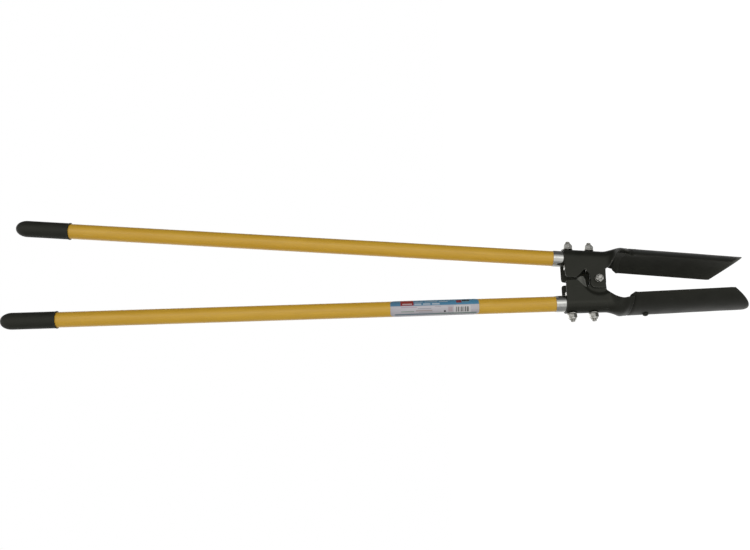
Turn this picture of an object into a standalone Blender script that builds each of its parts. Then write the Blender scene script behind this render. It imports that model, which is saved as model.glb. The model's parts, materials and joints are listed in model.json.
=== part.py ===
"""Clamshell post hole digger: two long handles, two pressed heads on one pivot bolt, two curved blades.

Arm frame, in millimetres: the pivot axis is Z, the blade points along +X, the handle along -X, and the
arm lies on the +Y side. The left arm is the same pressing turned half a turn about X. The root empty
stands the tool on its blade tips: its -X is world +Z, its +Y is world +X and its -Z is world +Y.
The right arm's frame is the root's. World units are metres, and the pivot nut faces world -Y.
"""

import math
from collections import namedtuple

import bmesh
import bpy
import numpy as np
from mathutils import Matrix, Vector

MM = 0.001
SHARP_ANGLE = math.radians(35)
GAP = 0.35  # working clearance between neighbouring pieces
STACK_GAP = 0.3  # between pieces stacked on a bolt
HOLE_GAP = 0.3  # hole radius over shank radius

# --- handle: stations run up its axis, from the foot of the pivot -----------------------------------
HANDLE_SPREAD = math.radians(2.65)  # lean of each handle off the centre plane
HANDLE_OFFSET = 45.6  # handle axis to pivot axis, at the pivot
TUBE_R, TUBE_BORE_R = 15.875, 12.7
TUBE_FOOT, TUBE_TOP = -3.0, 1198.0
CORE_R = TUBE_BORE_R - GAP
CORE_TOP = 100.0
SLEEVE_BORE_R = TUBE_R + 0.3  # bore of the ferrule and of the grip
FERRULE_R, FERRULE_TOP = 17.25, 88.2
GRIP_R, GRIP_RIM_R = 17.2, 17.9
GRIP_FOOT, GRIP_END = 1103.0, 1218.0
GRIP_RIM_H, GRIP_RIM_TAPER_END = 2.0, 4.5  # above the grip's foot
GRIP_DOME = 24.0

# --- label ------------------------------------------------------------------------------------------
LABEL_FROM, LABEL_TO = 246.5, 427.0
LABEL_R = TUBE_R + 0.2
LABEL_T = 0.25
LABEL_HALF_ANGLE = math.radians(82)
LABEL_TURN = math.radians(-11.4)  # label centre from the pivot axis direction, towards outward
LABEL_CORNER = 13.0

# --- blade: stations run down it from the pivot -----------------------------------------------------
BLADE_R = 72.0  # outer face
BLADE_T, BLADE_EDGE_T = 2.5, 1.0
EDGE_TAPER = 9.0  # length of the thinning towards the cutting edge
BLADE_CENTRE = 1.7  # Y of the curve's centre at the pivot
BLADE_LEAN = math.radians(3.81)
BLADE_HALF_ANGLE = math.radians(53.8)
BLADE_TIP, BLADE_CORNER = 305.9, 261.2
BLADE_TOP, BLADE_SIDE_TOP = 51.3, 61.0
TOP_FLAT_ANGLE = math.radians(47.5)  # the top edge is level up to about here
TOP_EASE = 0.02  # radians added at both ends of the rise beyond it
BLADE_ROWS, BLADE_COLS = 18, 17
STEP_INTERVALS, STEP_ROWS_END = 6, 69.0  # the evenly spaced rows over the step, and where they end
EDGE_CROWDING = 0.8  # below 1 draws the other rows together towards the cutting edge
SINK = 3.2  # the blade's top steps in by this much to pass under the neck
SINK_FROM, SINK_TO = 66.4, 60.2
BLADE_BOTTOM = BLADE_TIP * math.cos(BLADE_LEAN)  # X of the blade's tip

# --- pressed head -----------------------------------------------------------------------------------
SHEET = 3.0
HEAD_HALF = 19.1  # pivot plane to the middle of the sheet
HEAD_FACE = HEAD_HALF + SHEET / 2
HEAD_MOUTH = -67.5
NECK_START, NECK_DONE, NECK_END = 14.0, 52.0, 59.6
NECK_R = BLADE_R - SINK + GAP + SHEET / 2
NECK_SWELL = 1.25  # the neck is this much fuller before it draws in to its end
NECK_SWELL_FROM, NECK_SWELL_TO = 44.0, 57.0
# half angle of the neck's arc: degrees at first, degrees gained, and the X range of the gain
NEAR_FAN = (30.0, 14.0, 30.0, 60.0)
FAR_FAN = (41.0, 5.6, 24.0, 46.0)
NECK_LEG_FOOT = 22.0  # Y of the cheek edges where the neck starts, for spacing points along the arc
JOGGLE = SHEET + GAP  # the far cheek steps in by this much round the pivot
JOGGLE_FULL_R, JOGGLE_NONE_R = 28.0, 37.0
NEAR_POINTS, BEND_POINTS, FAR_POINTS = 4, 11, 6

# Cheek edges, from the mouth to the neck. The near cheek is on +Z, the far, stepped one on -Z.
# Each edge point has a ruling, a line across the cheek that starts at the ruling's X on the bend.
CHEEK_GAP = 0.4  # cheek edge to the centre plane, square to X, when the handles are parallel
CHEEK_EDGE = [-59.0, -53.0, -47.5]  # X
# notch between mouth and ear: X, Y
NEAR_NOTCH = [
    (-44.6, 3.4), (-41.0, 6.6), (-36.5, 11.2), (-32.5, 15.8), (-29.6, 19.0), (-27.0, 20.3),
    (-24.2, 19.4), (-21.2, 16.4), (-18.8, 11.6), (-17.4, 5.0), (-16.8, -2.6), (-16.6, -9.6),
]
FAR_NOTCH = [
    (-44.6, 0.8), (-41.2, -2.2), (-37.4, -4.0), (-33.6, -3.6), (-29.6, -0.6), (-27.3, 4.0),
    (-26.2, 9.5), (-24.9, 14.6), (-22.4, 17.2), (-19.6, 13.4), (-17.2, 0.0), (-16.6, -9.6),
]
# X of the notch's rulings
NOTCH_RULINGS = [
    -44.5, -41.5, -37.5, -33.5, -30.5, -28.0, -25.6, -23.2, -20.8, -18.4, -16.0, -13.6,
]
EAR_LEFT, EAR_RIGHT = -16.6, 15.2  # X
NEAR_EAR_FOOT = -19.4  # Y
FAR_EAR_FOOT = NEAR_EAR_FOOT + 0.4
EAR_LEFT_CORNER, EAR_RIGHT_CORNER = 9.8, 10.0  # radii
EAR_CORNER_STEPS = 5
# rulings at each corner: X before the first, and their pitch
LEFT_CORNER_RULINGS = (-13.6, 2.0)
RIGHT_CORNER_RULINGS = (3.0, 1.5)
EAR_FLAT = [(-6.8, -4.0), (-1.0, -0.4), (4.6, 3.0)]  # X, X of the ruling
# the ear's side towards the neck: X past EAR_RIGHT, Y, X of the ruling
EAR_SIDE = [(-0.4, -8.4, 10.2), (0.0, 0.0, 11.6), (0.3, 9.0, 12.9), (0.6, 17.0, 14.2)]
# concave edge from ear to neck end, before the neck's arc is blended in: X (also the ruling's), Y
NEAR_NECK = [
    (16.8, 22.4), (19.0, 22.4), (22.5, 21.4), (27.0, 21.6), (32.0, 22.6), (37.0, 25.6),
    (42.0, 33.6), (47.0, 40.0), (52.0, 44.0), (NECK_END, 44.0),
]
FAR_NECK = [
    (16.8, 21.9), (19.0, 23.7), (22.5, 26.0), (27.0, 28.3), (32.0, 30.2), (37.0, 34.0),
    (42.0, 41.0), (47.0, 44.0), (52.0, 44.0), (NECK_END, 44.0),
]

# --- tongue and rivet -------------------------------------------------------------------------------
TONGUE_TOP, TONGUE_END = 42.0, 113.0
TONGUE_HALF_ANGLE = math.radians(11.5)
TONGUE_SINK_SHIFT = 3.0  # the tongue's step lies this much lower than the blade's
TONGUE_ROWS, TONGUE_COLS = 12, 5
# rounding of the tongue's ends: depth of the ellipse, share of its half width in use
TONGUE_TOP_ROUND = (3.0, 0.8)
TONGUE_END_ROUND = (9.0, 0.97)
RIVET_AT = {"right": 87.0, "left": 96.0}
RIVET_R, RIVET_HEAD_R, RIVET_HEAD_H = 3.25, 6.0, 5.4
RIVET_SEAT = 0.55  # height of the flat base of the head, as the blade curves away under it
RIVET_RIM = 0.8
UPSET_R, UPSET_CHAMFER = 5.4, 0.8
UPSET_FROM, UPSET_TO = 0.45, 2.4  # beyond the inside of the tongue

# --- fasteners --------------------------------------------------------------------------------------
Fastener = namedtuple(
    "Fastener", "shank_r across_flats head_h washer_r washer_t washer_slack nut_hex_h nut_h"
)
SOCKET = Fastener(
    shank_r=5.0, across_flats=17.0, head_h=6.4,
    washer_r=10.0, washer_t=1.8, washer_slack=0.2, nut_hex_h=8.0, nut_h=10.8,
)
PIVOT = Fastener(
    shank_r=4.75, across_flats=14.3, head_h=6.0,
    washer_r=7.9, washer_t=1.6, washer_slack=0.1, nut_hex_h=7.0, nut_h=9.6,
)
SOCKET_STATIONS = {"upper": 55.0, "lower": 11.0}  # up the handle
SOCKET_BOLT_END = 38.6  # past the handle axis
PIVOT_END_PAST_NUT = 2.0
SPACER_R = 8.0
HEX_POINTS = 12  # round every hexagon: its corners and the middles of its flats
HEX_FACE_SHARE = 0.96  # radius of a hexagon's round end face, as a share of half its flats
HEAD_CHAMFER, NUT_CHAMFER = 0.8, 0.9
SHANK_CHAMFER_R, SHANK_CHAMFER_H = 0.9, 1.0
COLLAR_SHARE = 0.9  # radius of a lock nut's collar, as a share of half its flats
COLLAR_BASE = 0.2  # above the hexagon
COLLAR_CHAMFER_R, COLLAR_CHAMFER_H = 0.5, 1.0
INSERT_GAP, INSERT_RECESS = 0.25, 0.35  # nylon ring to its pocket, and below the collar's top


# ------------------------------------------------------------------------------------ mesh helpers
def smooth(x, start, stop):
    """0 at start, 1 at stop, with level ends."""
    t = min(max((x - start) / (stop - start), 0.0), 1.0)
    return t * t * (3 - 2 * t)


def quarter_angles(steps):
    """Angles from 0 towards a right angle, which is left out."""
    return [math.pi / 2 * k / steps for k in range(steps)]


def mesh_of(name, points, faces):
    """A mesh in metres from millimetre points, smooth-shaded between its sharp edges."""
    mesh = bpy.data.meshes.new(name)
    mesh.from_pydata([tuple(float(c) * MM for c in point) for point in points], [], faces)
    work = bmesh.new()
    work.from_mesh(mesh)
    bmesh.ops.recalc_face_normals(work, faces=work.faces)
    if work.calc_volume(signed=True) < 0:
        bmesh.ops.reverse_faces(work, faces=work.faces)
    work.to_mesh(mesh)
    work.free()
    mesh.shade_smooth()
    mesh.set_sharp_from_angle(angle=SHARP_ANGLE)
    return mesh


def sheet_solid(name, middle, thickness):
    """Thickens a grid of middle-surface points (rows x columns x 3) along its normals. thickness is
    a number, or one number per grid point. All four borders are closed."""
    middle = np.asarray(middle, float)
    rows, cols = middle.shape[:2]
    normal = np.cross(np.gradient(middle, axis=0), np.gradient(middle, axis=1))
    normal /= np.linalg.norm(normal, axis=2, keepdims=True)
    half = np.broadcast_to(np.asarray(thickness, float), (rows, cols))[..., None] / 2
    sides = [middle + normal * half, middle - normal * half]
    points = np.concatenate([side.reshape(-1, 3) for side in sides])

    def top(i, j):
        return i * cols + j

    def low(i, j):
        return rows * cols + i * cols + j

    faces = []
    for i in range(rows - 1):
        for j in range(cols - 1):
            faces.append((top(i, j), top(i + 1, j), top(i + 1, j + 1), top(i, j + 1)))
            faces.append((low(i, j), low(i, j + 1), low(i + 1, j + 1), low(i + 1, j)))
    last = cols - 1
    for i in range(rows - 1):
        faces.append((top(i, 0), low(i, 0), low(i + 1, 0), top(i + 1, 0)))
        faces.append((top(i, last), top(i + 1, last), low(i + 1, last), low(i, last)))
    last = rows - 1
    for j in range(cols - 1):
        faces.append((top(0, j), top(0, j + 1), low(0, j + 1), low(0, j)))
        faces.append((top(last, j), low(last, j), low(last, j + 1), top(last, j + 1)))
    return mesh_of(name, points, faces)


def skin(name, rings, looped):
    """A solid through rings of points; a ring of one point is a pole. Looped, the last ring joins
    the first; otherwise end rings that aren't poles are capped."""
    count = max(len(ring) for ring in rings)
    points, loops = [], []
    for ring in rings:
        first = len(points)
        points += ring
        loops.append(list(range(first, len(points))) * (count // len(ring)))
    following = loops[1:] + loops[:1] if looped else loops[1:]
    faces = []
    for lower, upper in zip(loops, following):
        for k in range(count):
            m = (k + 1) % count
            # a pole's repeated corner is dropped, which leaves a triangle
            corners = dict.fromkeys((lower[k], lower[m], upper[m], upper[k]))
            faces.append(tuple(corners))
    if not looped:
        faces += [tuple(loops[end]) for end in (0, -1) if len(rings[end]) > 1]
    return mesh_of(name, points, faces)


def circle(radius, height, count=HEX_POINTS):
    angles = [2 * math.pi * k / count for k in range(count)]
    return [(radius * math.cos(a), radius * math.sin(a), height) for a in angles]


def turned(name, profile, segments=24):
    """A turned solid from (radius, height) points: a profile that starts on the axis also ends
    there, any other is closed on itself."""
    rings = [circle(r, z, segments) if r else [(0, 0, z)] for r, z in profile]
    return skin(name, rings, looped=profile[0][0] != 0)


def cylinder(name, radius, low, high, segments=24):
    return turned(name, [(0, low), (radius, low), (radius, high), (0, high)], segments)


def sleeve(name, inner, outer, low, high, segments=24):
    profile = [(outer, low), (outer, high), (inner, high), (inner, low)]
    return turned(name, profile, segments)


# ---------------------------------------------------------------------------------- object helpers
def empty(name, parent=None):
    made = bpy.data.objects.new(name, None)
    bpy.context.scene.collection.objects.link(made)
    made.parent = parent
    return made


def place(name, mesh, parent, finish=None, matrix=None):
    """A named object under its parent; matrix is in the parent's frame, translated in millimetres."""
    made = bpy.data.objects.new(name, mesh)
    bpy.context.scene.collection.objects.link(made)
    made.parent = parent
    if finish is not None and not mesh.materials:
        mesh.materials.append(finish)
    if matrix is not None:
        turn = matrix.to_3x3().to_4x4()
        made.matrix_local = Matrix.Translation(matrix.translation * MM) @ turn
    return made


def cutter(name, parent, shank_r, reach, matrix=None):
    """A hidden drill for a shank's hole, along local Z and reaching equally both ways."""
    mesh = cylinder(name, shank_r + HOLE_GAP, -reach, reach, 20)
    made = place(name, mesh, parent, matrix=matrix)
    made.hide_render = True
    made.display_type = "WIRE"
    return made


def cut(piece, drill):
    boolean = piece.modifiers.new("cut_" + drill.name, "BOOLEAN")
    boolean.operation = "DIFFERENCE"
    boolean.object = drill
    boolean.solver = "EXACT"


# ------------------------------------------------------------------------------------------ frames
ALONG = Vector((-math.cos(HANDLE_SPREAD), math.sin(HANDLE_SPREAD), 0))  # towards the grip
OUTWARD = Vector((math.sin(HANDLE_SPREAD), math.cos(HANDLE_SPREAD), 0))  # from the other handle
PIVOT_UP = Vector((0, 0, 1))
HANDLE_FOOT = Vector((0, HANDLE_OFFSET, 0))


def frame_at(origin, x, y, z):
    made = Matrix((x, y, z)).transposed().to_4x4()
    made.translation = Vector(origin)
    return made


def handle_frame():
    """Local Z runs up the handle, local Y along the pivot axis, local X inward."""
    return frame_at(HANDLE_FOOT, (-OUTWARD).normalized(), PIVOT_UP, ALONG)


def label_frame():
    """Local Z runs up the handle, local X outward. Local Y is the left arm's -Z, the side of the
    pivot nut."""
    return frame_at(HANDLE_FOOT, OUTWARD, -PIVOT_UP, ALONG)


def socket_frame(station, outward):
    """Local Z points outward across the handle, local Y along the pivot axis."""
    origin = HANDLE_FOOT + ALONG * station + OUTWARD * outward
    return frame_at(origin, PIVOT_UP.cross(OUTWARD), PIVOT_UP, OUTWARD)


def rivet_frame(station):
    """On the blade's outer face, local Z pointing out of it."""
    return frame_at(
        blade_point(station, 0.0, BLADE_R),
        Vector((math.cos(BLADE_LEAN), -math.sin(BLADE_LEAN), 0)),
        -PIVOT_UP,
        Vector((math.sin(BLADE_LEAN), math.cos(BLADE_LEAN), 0)),
    )


# --------------------------------------------------------------------------------- handle and label
def grip_mesh():
    profile = [
        (0, TUBE_TOP + 0.4),
        (SLEEVE_BORE_R, TUBE_TOP + 0.4),
        (SLEEVE_BORE_R, GRIP_FOOT),
        (GRIP_RIM_R, GRIP_FOOT),
        (GRIP_RIM_R, GRIP_FOOT + GRIP_RIM_H),
        (GRIP_R, GRIP_FOOT + GRIP_RIM_TAPER_END),
    ]
    # the power makes the dome a little narrower than an ellipse... near its end it is fuller by none
    profile += [
        (GRIP_R * math.cos(a) ** 0.9, GRIP_END - GRIP_DOME + GRIP_DOME * math.sin(a))
        for a in quarter_angles(6)
    ]
    profile.append((0, GRIP_END))
    return turned("grip", profile)


def label_mesh(rows=5, cols=23):
    columns = []
    middle_r = LABEL_R + LABEL_T / 2
    for j in range(cols):
        across = 1 - 2 * j / (cols - 1)
        angle = LABEL_TURN + LABEL_HALF_ANGLE * across
        edge = (1 - abs(across)) * LABEL_HALF_ANGLE * LABEL_R
        inset = 0.0
        if edge < LABEL_CORNER:
            inset = LABEL_CORNER - math.sqrt(LABEL_CORNER**2 - (LABEL_CORNER - edge) ** 2)
        x, y = -middle_r * math.sin(angle), middle_r * math.cos(angle)
        low, high = LABEL_FROM + inset, LABEL_TO - inset
        columns.append([(x, y, high + (low - high) * i / (rows - 1)) for i in range(rows)])
    return sheet_solid("label", np.array(columns).transpose(1, 0, 2), LABEL_T)


# ------------------------------------------------------------------------------------ head pressing
def handle_y(x):
    return HANDLE_OFFSET - x * math.tan(HANDLE_SPREAD)


def cheek_gap(x):
    """Y of the cheek edge that butts on the other head's when the handles are parallel."""
    return -x * math.tan(HANDLE_SPREAD) + CHEEK_GAP


def cheek_outline(notch, foot, neck):
    """One cheek's free edge from mouth to neck end: X, Y, X of the ruling."""
    # rounded corner at the mouth
    points = [
        (HEAD_MOUTH, 10.0, HEAD_MOUTH),
        (HEAD_MOUTH + 0.7, 6.2, HEAD_MOUTH + 0.9),
        (HEAD_MOUTH + 2.9, cheek_gap(HEAD_MOUTH + 2.9) + 0.7, HEAD_MOUTH + 2.9),
    ]
    points += [(x, cheek_gap(x), x) for x in CHEEK_EDGE]
    points += [(x, y, ruling) for (x, y), ruling in zip(notch, NOTCH_RULINGS)]
    corner_angles = list(enumerate(quarter_angles(EAR_CORNER_STEPS)))[1:]
    first, pitch = LEFT_CORNER_RULINGS
    for k, a in corner_angles:
        x = EAR_LEFT + EAR_LEFT_CORNER * (1 - math.cos(a))
        points.append((x, foot + EAR_LEFT_CORNER * (1 - math.sin(a)), first + pitch * k))
    points += [(x, foot, ruling) for x, ruling in EAR_FLAT]
    flat_end = EAR_FLAT[-1][0]
    first, pitch = RIGHT_CORNER_RULINGS
    for k, a in corner_angles:
        x = flat_end + EAR_RIGHT_CORNER * math.sin(a)
        points.append((x, foot + EAR_RIGHT_CORNER * (1 - math.cos(a)), first + pitch * k))
    points += [(EAR_RIGHT + x, y, ruling) for x, y, ruling in EAR_SIDE]
    points += [(x, y, x) for x, y in neck]
    return points


def u_section(near_edge, far_edge, start):
    """Near cheek, bend and far cheek, along the rulings that start at X = start."""
    (near_x, near_y), (far_x, far_y) = near_edge, far_edge
    top = handle_y(start)
    section = []
    for k in range(NEAR_POINTS):
        t = k / NEAR_POINTS
        section.append((near_x + (start - near_x) * t, near_y + (top - near_y) * t, HEAD_HALF))
    for k in range(BEND_POINTS):
        a = math.pi * k / (BEND_POINTS - 1)
        section.append((start, top + HEAD_HALF * math.sin(a), HEAD_HALF * math.cos(a)))
    for k in range(FAR_POINTS):
        t = (k + 1) / FAR_POINTS
        x, y = start + (far_x - start) * t, top + (far_y - top) * t
        step = JOGGLE * (1 - smooth(math.hypot(x, y), JOGGLE_FULL_R, JOGGLE_NONE_R))
        section.append((x, y, -HEAD_HALF + step))
    return np.array(section)


def neck_shares():
    """Signed share of the half path at each point, spaced as round the U where the neck starts."""
    leg, bend = handle_y(NECK_START) - NECK_LEG_FOOT, math.pi * HEAD_HALF / 2
    share = [leg * (1 - k / NEAR_POINTS) + bend for k in range(NEAR_POINTS)]
    share += [bend * (1 - 2 * k / (BEND_POINTS - 1)) for k in range(BEND_POINTS)]
    share += [-bend - leg * (k + 1) / FAR_POINTS for k in range(FAR_POINTS)]
    return np.array(share) / (leg + bend)


def fan_half_angle(x, fan):
    degrees, gain, gain_from, gain_to = fan
    return math.radians(degrees + gain * smooth(x, gain_from, gain_to))


def neck_section(start):
    """The arc over the blade's top that the pressing turns into."""
    share = neck_shares()
    radius = NECK_R + NECK_SWELL * (1 - smooth(start, NECK_SWELL_FROM, NECK_SWELL_TO))
    centre = BLADE_CENTRE - start * math.tan(BLADE_LEAN)
    near_half, far_half = fan_half_angle(start, NEAR_FAN), fan_half_angle(start, FAR_FAN)
    angle = np.where(share > 0, near_half, far_half) * share
    x = np.full(len(share), start)
    return np.stack([x, centre + radius * np.cos(angle), radius * np.sin(angle)], axis=1)


def head_mesh():
    near = cheek_outline(NEAR_NOTCH, NEAR_EAR_FOOT, NEAR_NECK)
    far = cheek_outline(FAR_NOTCH, FAR_EAR_FOOT, FAR_NECK)
    rows = []
    for (near_x, near_y, start), (far_x, far_y, _) in zip(near, far):
        blend = smooth(start, NECK_START, NECK_DONE)
        section = u_section((near_x, near_y), (far_x, far_y), start)
        rows.append(section * (1 - blend) + neck_section(start) * blend)
    return sheet_solid("head", rows, SHEET)


# --------------------------------------------------------------------------- blade, tongue and rivet
def blade_point(station, angle, radius):
    return (
        station * math.cos(BLADE_LEAN),
        BLADE_CENTRE + radius * math.cos(angle) - station * math.sin(BLADE_LEAN),
        radius * math.sin(angle),
    )


def blade_station(i, angle):
    """Station of row i at this angle, and of the cutting edge there."""
    rise = smooth(abs(angle), TOP_FLAT_ANGLE - TOP_EASE, BLADE_HALF_ANGLE + TOP_EASE)
    top = BLADE_TOP + (BLADE_SIDE_TOP - BLADE_TOP) * rise
    drop = (1 - math.cos(angle)) / (1 - math.cos(BLADE_HALF_ANGLE))
    end = BLADE_TIP - (BLADE_TIP - BLADE_CORNER) * drop
    if i <= STEP_INTERVALS:
        return top + (STEP_ROWS_END - top) * (i / STEP_INTERVALS), end
    t = (i - STEP_INTERVALS) / (BLADE_ROWS - 1 - STEP_INTERVALS)
    return STEP_ROWS_END + (end - STEP_ROWS_END) * t**EDGE_CROWDING, end


def blade_mesh():
    points = np.empty((BLADE_ROWS, BLADE_COLS, 3))
    thickness = np.empty((BLADE_ROWS, BLADE_COLS))
    for i in range(BLADE_ROWS):
        for j in range(BLADE_COLS):
            angle = BLADE_HALF_ANGLE * (1 - 2 * j / (BLADE_COLS - 1))
            station, end = blade_station(i, angle)
            sink = SINK * smooth(station, SINK_FROM, SINK_TO)
            thick = BLADE_T + (BLADE_EDGE_T - BLADE_T) * smooth(end - station, EDGE_TAPER, 0.0)
            points[i, j] = blade_point(station, angle, BLADE_R - sink - thick / 2)
            thickness[i, j] = thick
    return sheet_solid("blade", points, thickness)


def tongue_mesh():
    """Strip under the blade's top, following its step."""

    def rounding(across, end_round):
        depth, width_share = end_round
        return depth * (1 - math.sqrt(1 - (width_share * across) ** 2))

    sink_from, sink_to = SINK_FROM + TONGUE_SINK_SHIFT, SINK_TO + TONGUE_SINK_SHIFT
    points = np.empty((TONGUE_ROWS, TONGUE_COLS, 3))
    for i in range(TONGUE_ROWS):
        for j in range(TONGUE_COLS):
            across = 1 - 2 * j / (TONGUE_COLS - 1)
            top = TONGUE_TOP + rounding(across, TONGUE_TOP_ROUND)
            end = TONGUE_END - rounding(across, TONGUE_END_ROUND)
            station = top + (end - top) * i / (TONGUE_ROWS - 1)
            sink = SINK * smooth(station, sink_from, sink_to)
            radius = BLADE_R - sink - BLADE_T - GAP - SHEET / 2
            points[i, j] = blade_point(station, TONGUE_HALF_ANGLE * across, radius)
    return sheet_solid("tongue", points, SHEET)


def rivet_mesh():
    """Domed head outside, shank through blade and tongue, flat upset head inside. Local Z points out
    of the blade, 0 on its outer face."""
    inside = -(BLADE_T + GAP + SHEET)
    profile = [
        (0, inside - UPSET_TO),
        (UPSET_R - UPSET_CHAMFER, inside - UPSET_TO),
        (UPSET_R, inside - UPSET_TO + UPSET_CHAMFER),
        (UPSET_R, inside - UPSET_FROM),
        (RIVET_R, inside - UPSET_FROM),
        (RIVET_R, RIVET_SEAT),
        (RIVET_HEAD_R, RIVET_SEAT),
    ]
    dome_foot = RIVET_SEAT + RIVET_RIM
    profile += [
        (RIVET_HEAD_R * math.cos(a), dome_foot + (RIVET_HEAD_H - dome_foot) * math.sin(a))
        for a in quarter_angles(5)
    ]
    profile.append((0, RIVET_HEAD_H))
    return turned("rivet", profile, 16)


# --------------------------------------------------------------------------------------- fasteners
def hexagon_rings(across_flats, low, high, chamfer):
    """Four rings up a hexagon with chamfered rims, a flat facing local X."""
    face_r = across_flats / 2 * HEX_FACE_SHARE
    outline = []
    for k in range(HEX_POINTS):
        a = 2 * math.pi * k / HEX_POINTS
        radius = across_flats / 2 / math.cos((a + math.pi / 6) % (math.pi / 3) - math.pi / 6)
        outline.append((radius * math.cos(a), radius * math.sin(a)))
    middle = [[(x, y, z) for x, y in outline] for z in (low + chamfer, high - chamfer)]
    return [circle(face_r, low), *middle, circle(face_r, high)]


def bolt_mesh(name, size, length):
    """Head below 0, shank from 0 up to length, with a chamfered end."""
    rings = hexagon_rings(size.across_flats, -size.head_h, 0.0, HEAD_CHAMFER)
    rings += [
        circle(size.shank_r, 0.0),
        circle(size.shank_r, length - SHANK_CHAMFER_H),
        circle(size.shank_r - SHANK_CHAMFER_R, length),
    ]
    return skin(name, rings, looped=False)


def nut_meshes(name, size):
    """A lock nut standing on 0, and the nylon ring in its collar."""
    bore = size.shank_r + HOLE_GAP
    collar = size.across_flats / 2 * COLLAR_SHARE
    pocket = (bore + collar) / 2
    base, top = size.nut_hex_h + COLLAR_BASE, size.nut_h
    rings = [
        circle(bore, 0.0),
        *hexagon_rings(size.across_flats, 0.0, size.nut_hex_h, NUT_CHAMFER),
        circle(collar, base),
        circle(collar, top - COLLAR_CHAMFER_H),
        circle(collar - COLLAR_CHAMFER_R, top),
        circle(pocket, top),
        circle(pocket, base),
        circle(bore, base),
    ]
    nut = skin(name + "_nut", rings, looped=True)
    low, high = base + INSERT_GAP, top - INSERT_RECESS
    return nut, sleeve(name + "_nylon", bore, pocket - INSERT_GAP, low, high, 16)


def fastener_parts(name, size, length, finish):
    """Part: (mesh, finish)."""
    nut, insert = nut_meshes(name, size)
    bore = size.shank_r + HOLE_GAP + size.washer_slack
    washer = sleeve(name + "_washer", bore, size.washer_r, 0, size.washer_t, 20)
    return {
        "bolt": (bolt_mesh(name + "_bolt", size, length), finish["zinc"]),
        "washer": (washer, finish["zinc"]),
        "nut": (nut, finish["zinc"]),
        "nut_insert": (insert, finish["nylon"]),
    }


def socket_parts(finish):
    return fastener_parts("socket", SOCKET, SOCKET_BOLT_END + FERRULE_R + GAP, finish)


def place_socket(name, arm, station, parts):
    """One bolt across the handle, its head inward and its nut on the back of the head pressing."""
    washer_at = HEAD_FACE + GAP
    nut_at = washer_at + SOCKET.washer_t + STACK_GAP
    places = {"bolt": -FERRULE_R - GAP, "washer": washer_at, "nut": nut_at, "nut_insert": nut_at}
    for part, outward in places.items():
        place(f"{name}_{part}", parts[part][0], arm, parts[part][1], socket_frame(station, outward))


def place_pivot(root, finish):
    """The pivot bolt and what it carries: its nut on +Z, its head on -Z, and the spacer between."""
    pivot = empty("pivot_axis", root)
    washer_at = HEAD_FACE + STACK_GAP
    nut_at = washer_at + PIVOT.washer_t + STACK_GAP
    length = 2 * nut_at + PIVOT.nut_h + PIVOT_END_PAST_NUT
    parts = fastener_parts("pivot", PIVOT, length, finish)
    # name, part, Z
    places = [
        ("pivot_bolt", "bolt", -nut_at),
        ("pivot_back_washer", "washer", -washer_at - PIVOT.washer_t),
        ("pivot_front_washer", "washer", washer_at),
        ("pivot_nut", "nut", nut_at),
        ("pivot_nut_insert", "nut_insert", nut_at),
    ]
    for name, part, z in places:
        place(name, parts[part][0], pivot, parts[part][1], Matrix.Translation((0, 0, z)))
    half = HEAD_HALF - SHEET / 2 - JOGGLE - STACK_GAP
    spacer = sleeve("pivot_spacer", PIVOT.shank_r + HOLE_GAP, SPACER_R, -half, half, 20)
    place("pivot_spacer", spacer, pivot, finish["zinc"])


# --------------------------------------------------------------------------------------- materials
def material(name, colour, roughness, metallic=0.0):
    made = bpy.data.materials.new(name)
    made.use_nodes = True
    shader = made.node_tree.nodes["Principled BSDF"]
    shader.inputs["Base Color"].default_value = (*colour, 1)
    shader.inputs["Roughness"].default_value = roughness
    shader.inputs["Metallic"].default_value = metallic
    return made


def make_finishes():
    return {
        "tube": material("yellow_tube", colour=(0.50, 0.30, 0.045), roughness=0.42),
        "core": material("core_plug", colour=(0.32, 0.24, 0.15), roughness=0.8),
        "rubber": material("grip_rubber", colour=(0.024, 0.025, 0.02), roughness=0.6),
        "ferrule": material(
            "ferrule_steel", colour=(0.62, 0.62, 0.62), roughness=0.22, metallic=1.0
        ),
        "black": material("black_paint", colour=(0.027, 0.028, 0.025), roughness=0.45),
        "zinc": material("zinc_plate", colour=(0.55, 0.54, 0.50), roughness=0.32, metallic=1.0),
        "nylon": material("nylon_insert", colour=(0.70, 0.70, 0.66), roughness=0.5),
        "label": material("label_film", colour=(0.50, 0.52, 0.58), roughness=0.35),
    }


# ------------------------------------------------------------------------------------------- build
def arm_parts(finish):
    """Pieces both arms share: name, mesh, finish, frame, drills in order."""
    tube = sleeve("tube", TUBE_BORE_R, TUBE_R, TUBE_FOOT, TUBE_TOP)
    core = cylinder("core", CORE_R, TUBE_FOOT, CORE_TOP)
    ferrule = sleeve("ferrule", SLEEVE_BORE_R, FERRULE_R, TUBE_FOOT, FERRULE_TOP)
    sockets = list(SOCKET_STATIONS)
    return [
        ("handle_tube", tube, finish["tube"], "handle", sockets),
        ("handle_core", core, finish["core"], "handle", sockets),
        ("ferrule", ferrule, finish["ferrule"], "handle", sockets),
        ("grip", grip_mesh(), finish["rubber"], "handle", []),
        ("head", head_mesh(), finish["black"], "arm", sockets + ["pivot"]),
        ("blade", blade_mesh(), finish["black"], "arm", ["rivet"]),
        ("blade_tongue", tongue_mesh(), finish["black"], "arm", ["rivet"]),
        ("blade_rivet", rivet_mesh(), finish["black"], "rivet", []),
    ]


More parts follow.
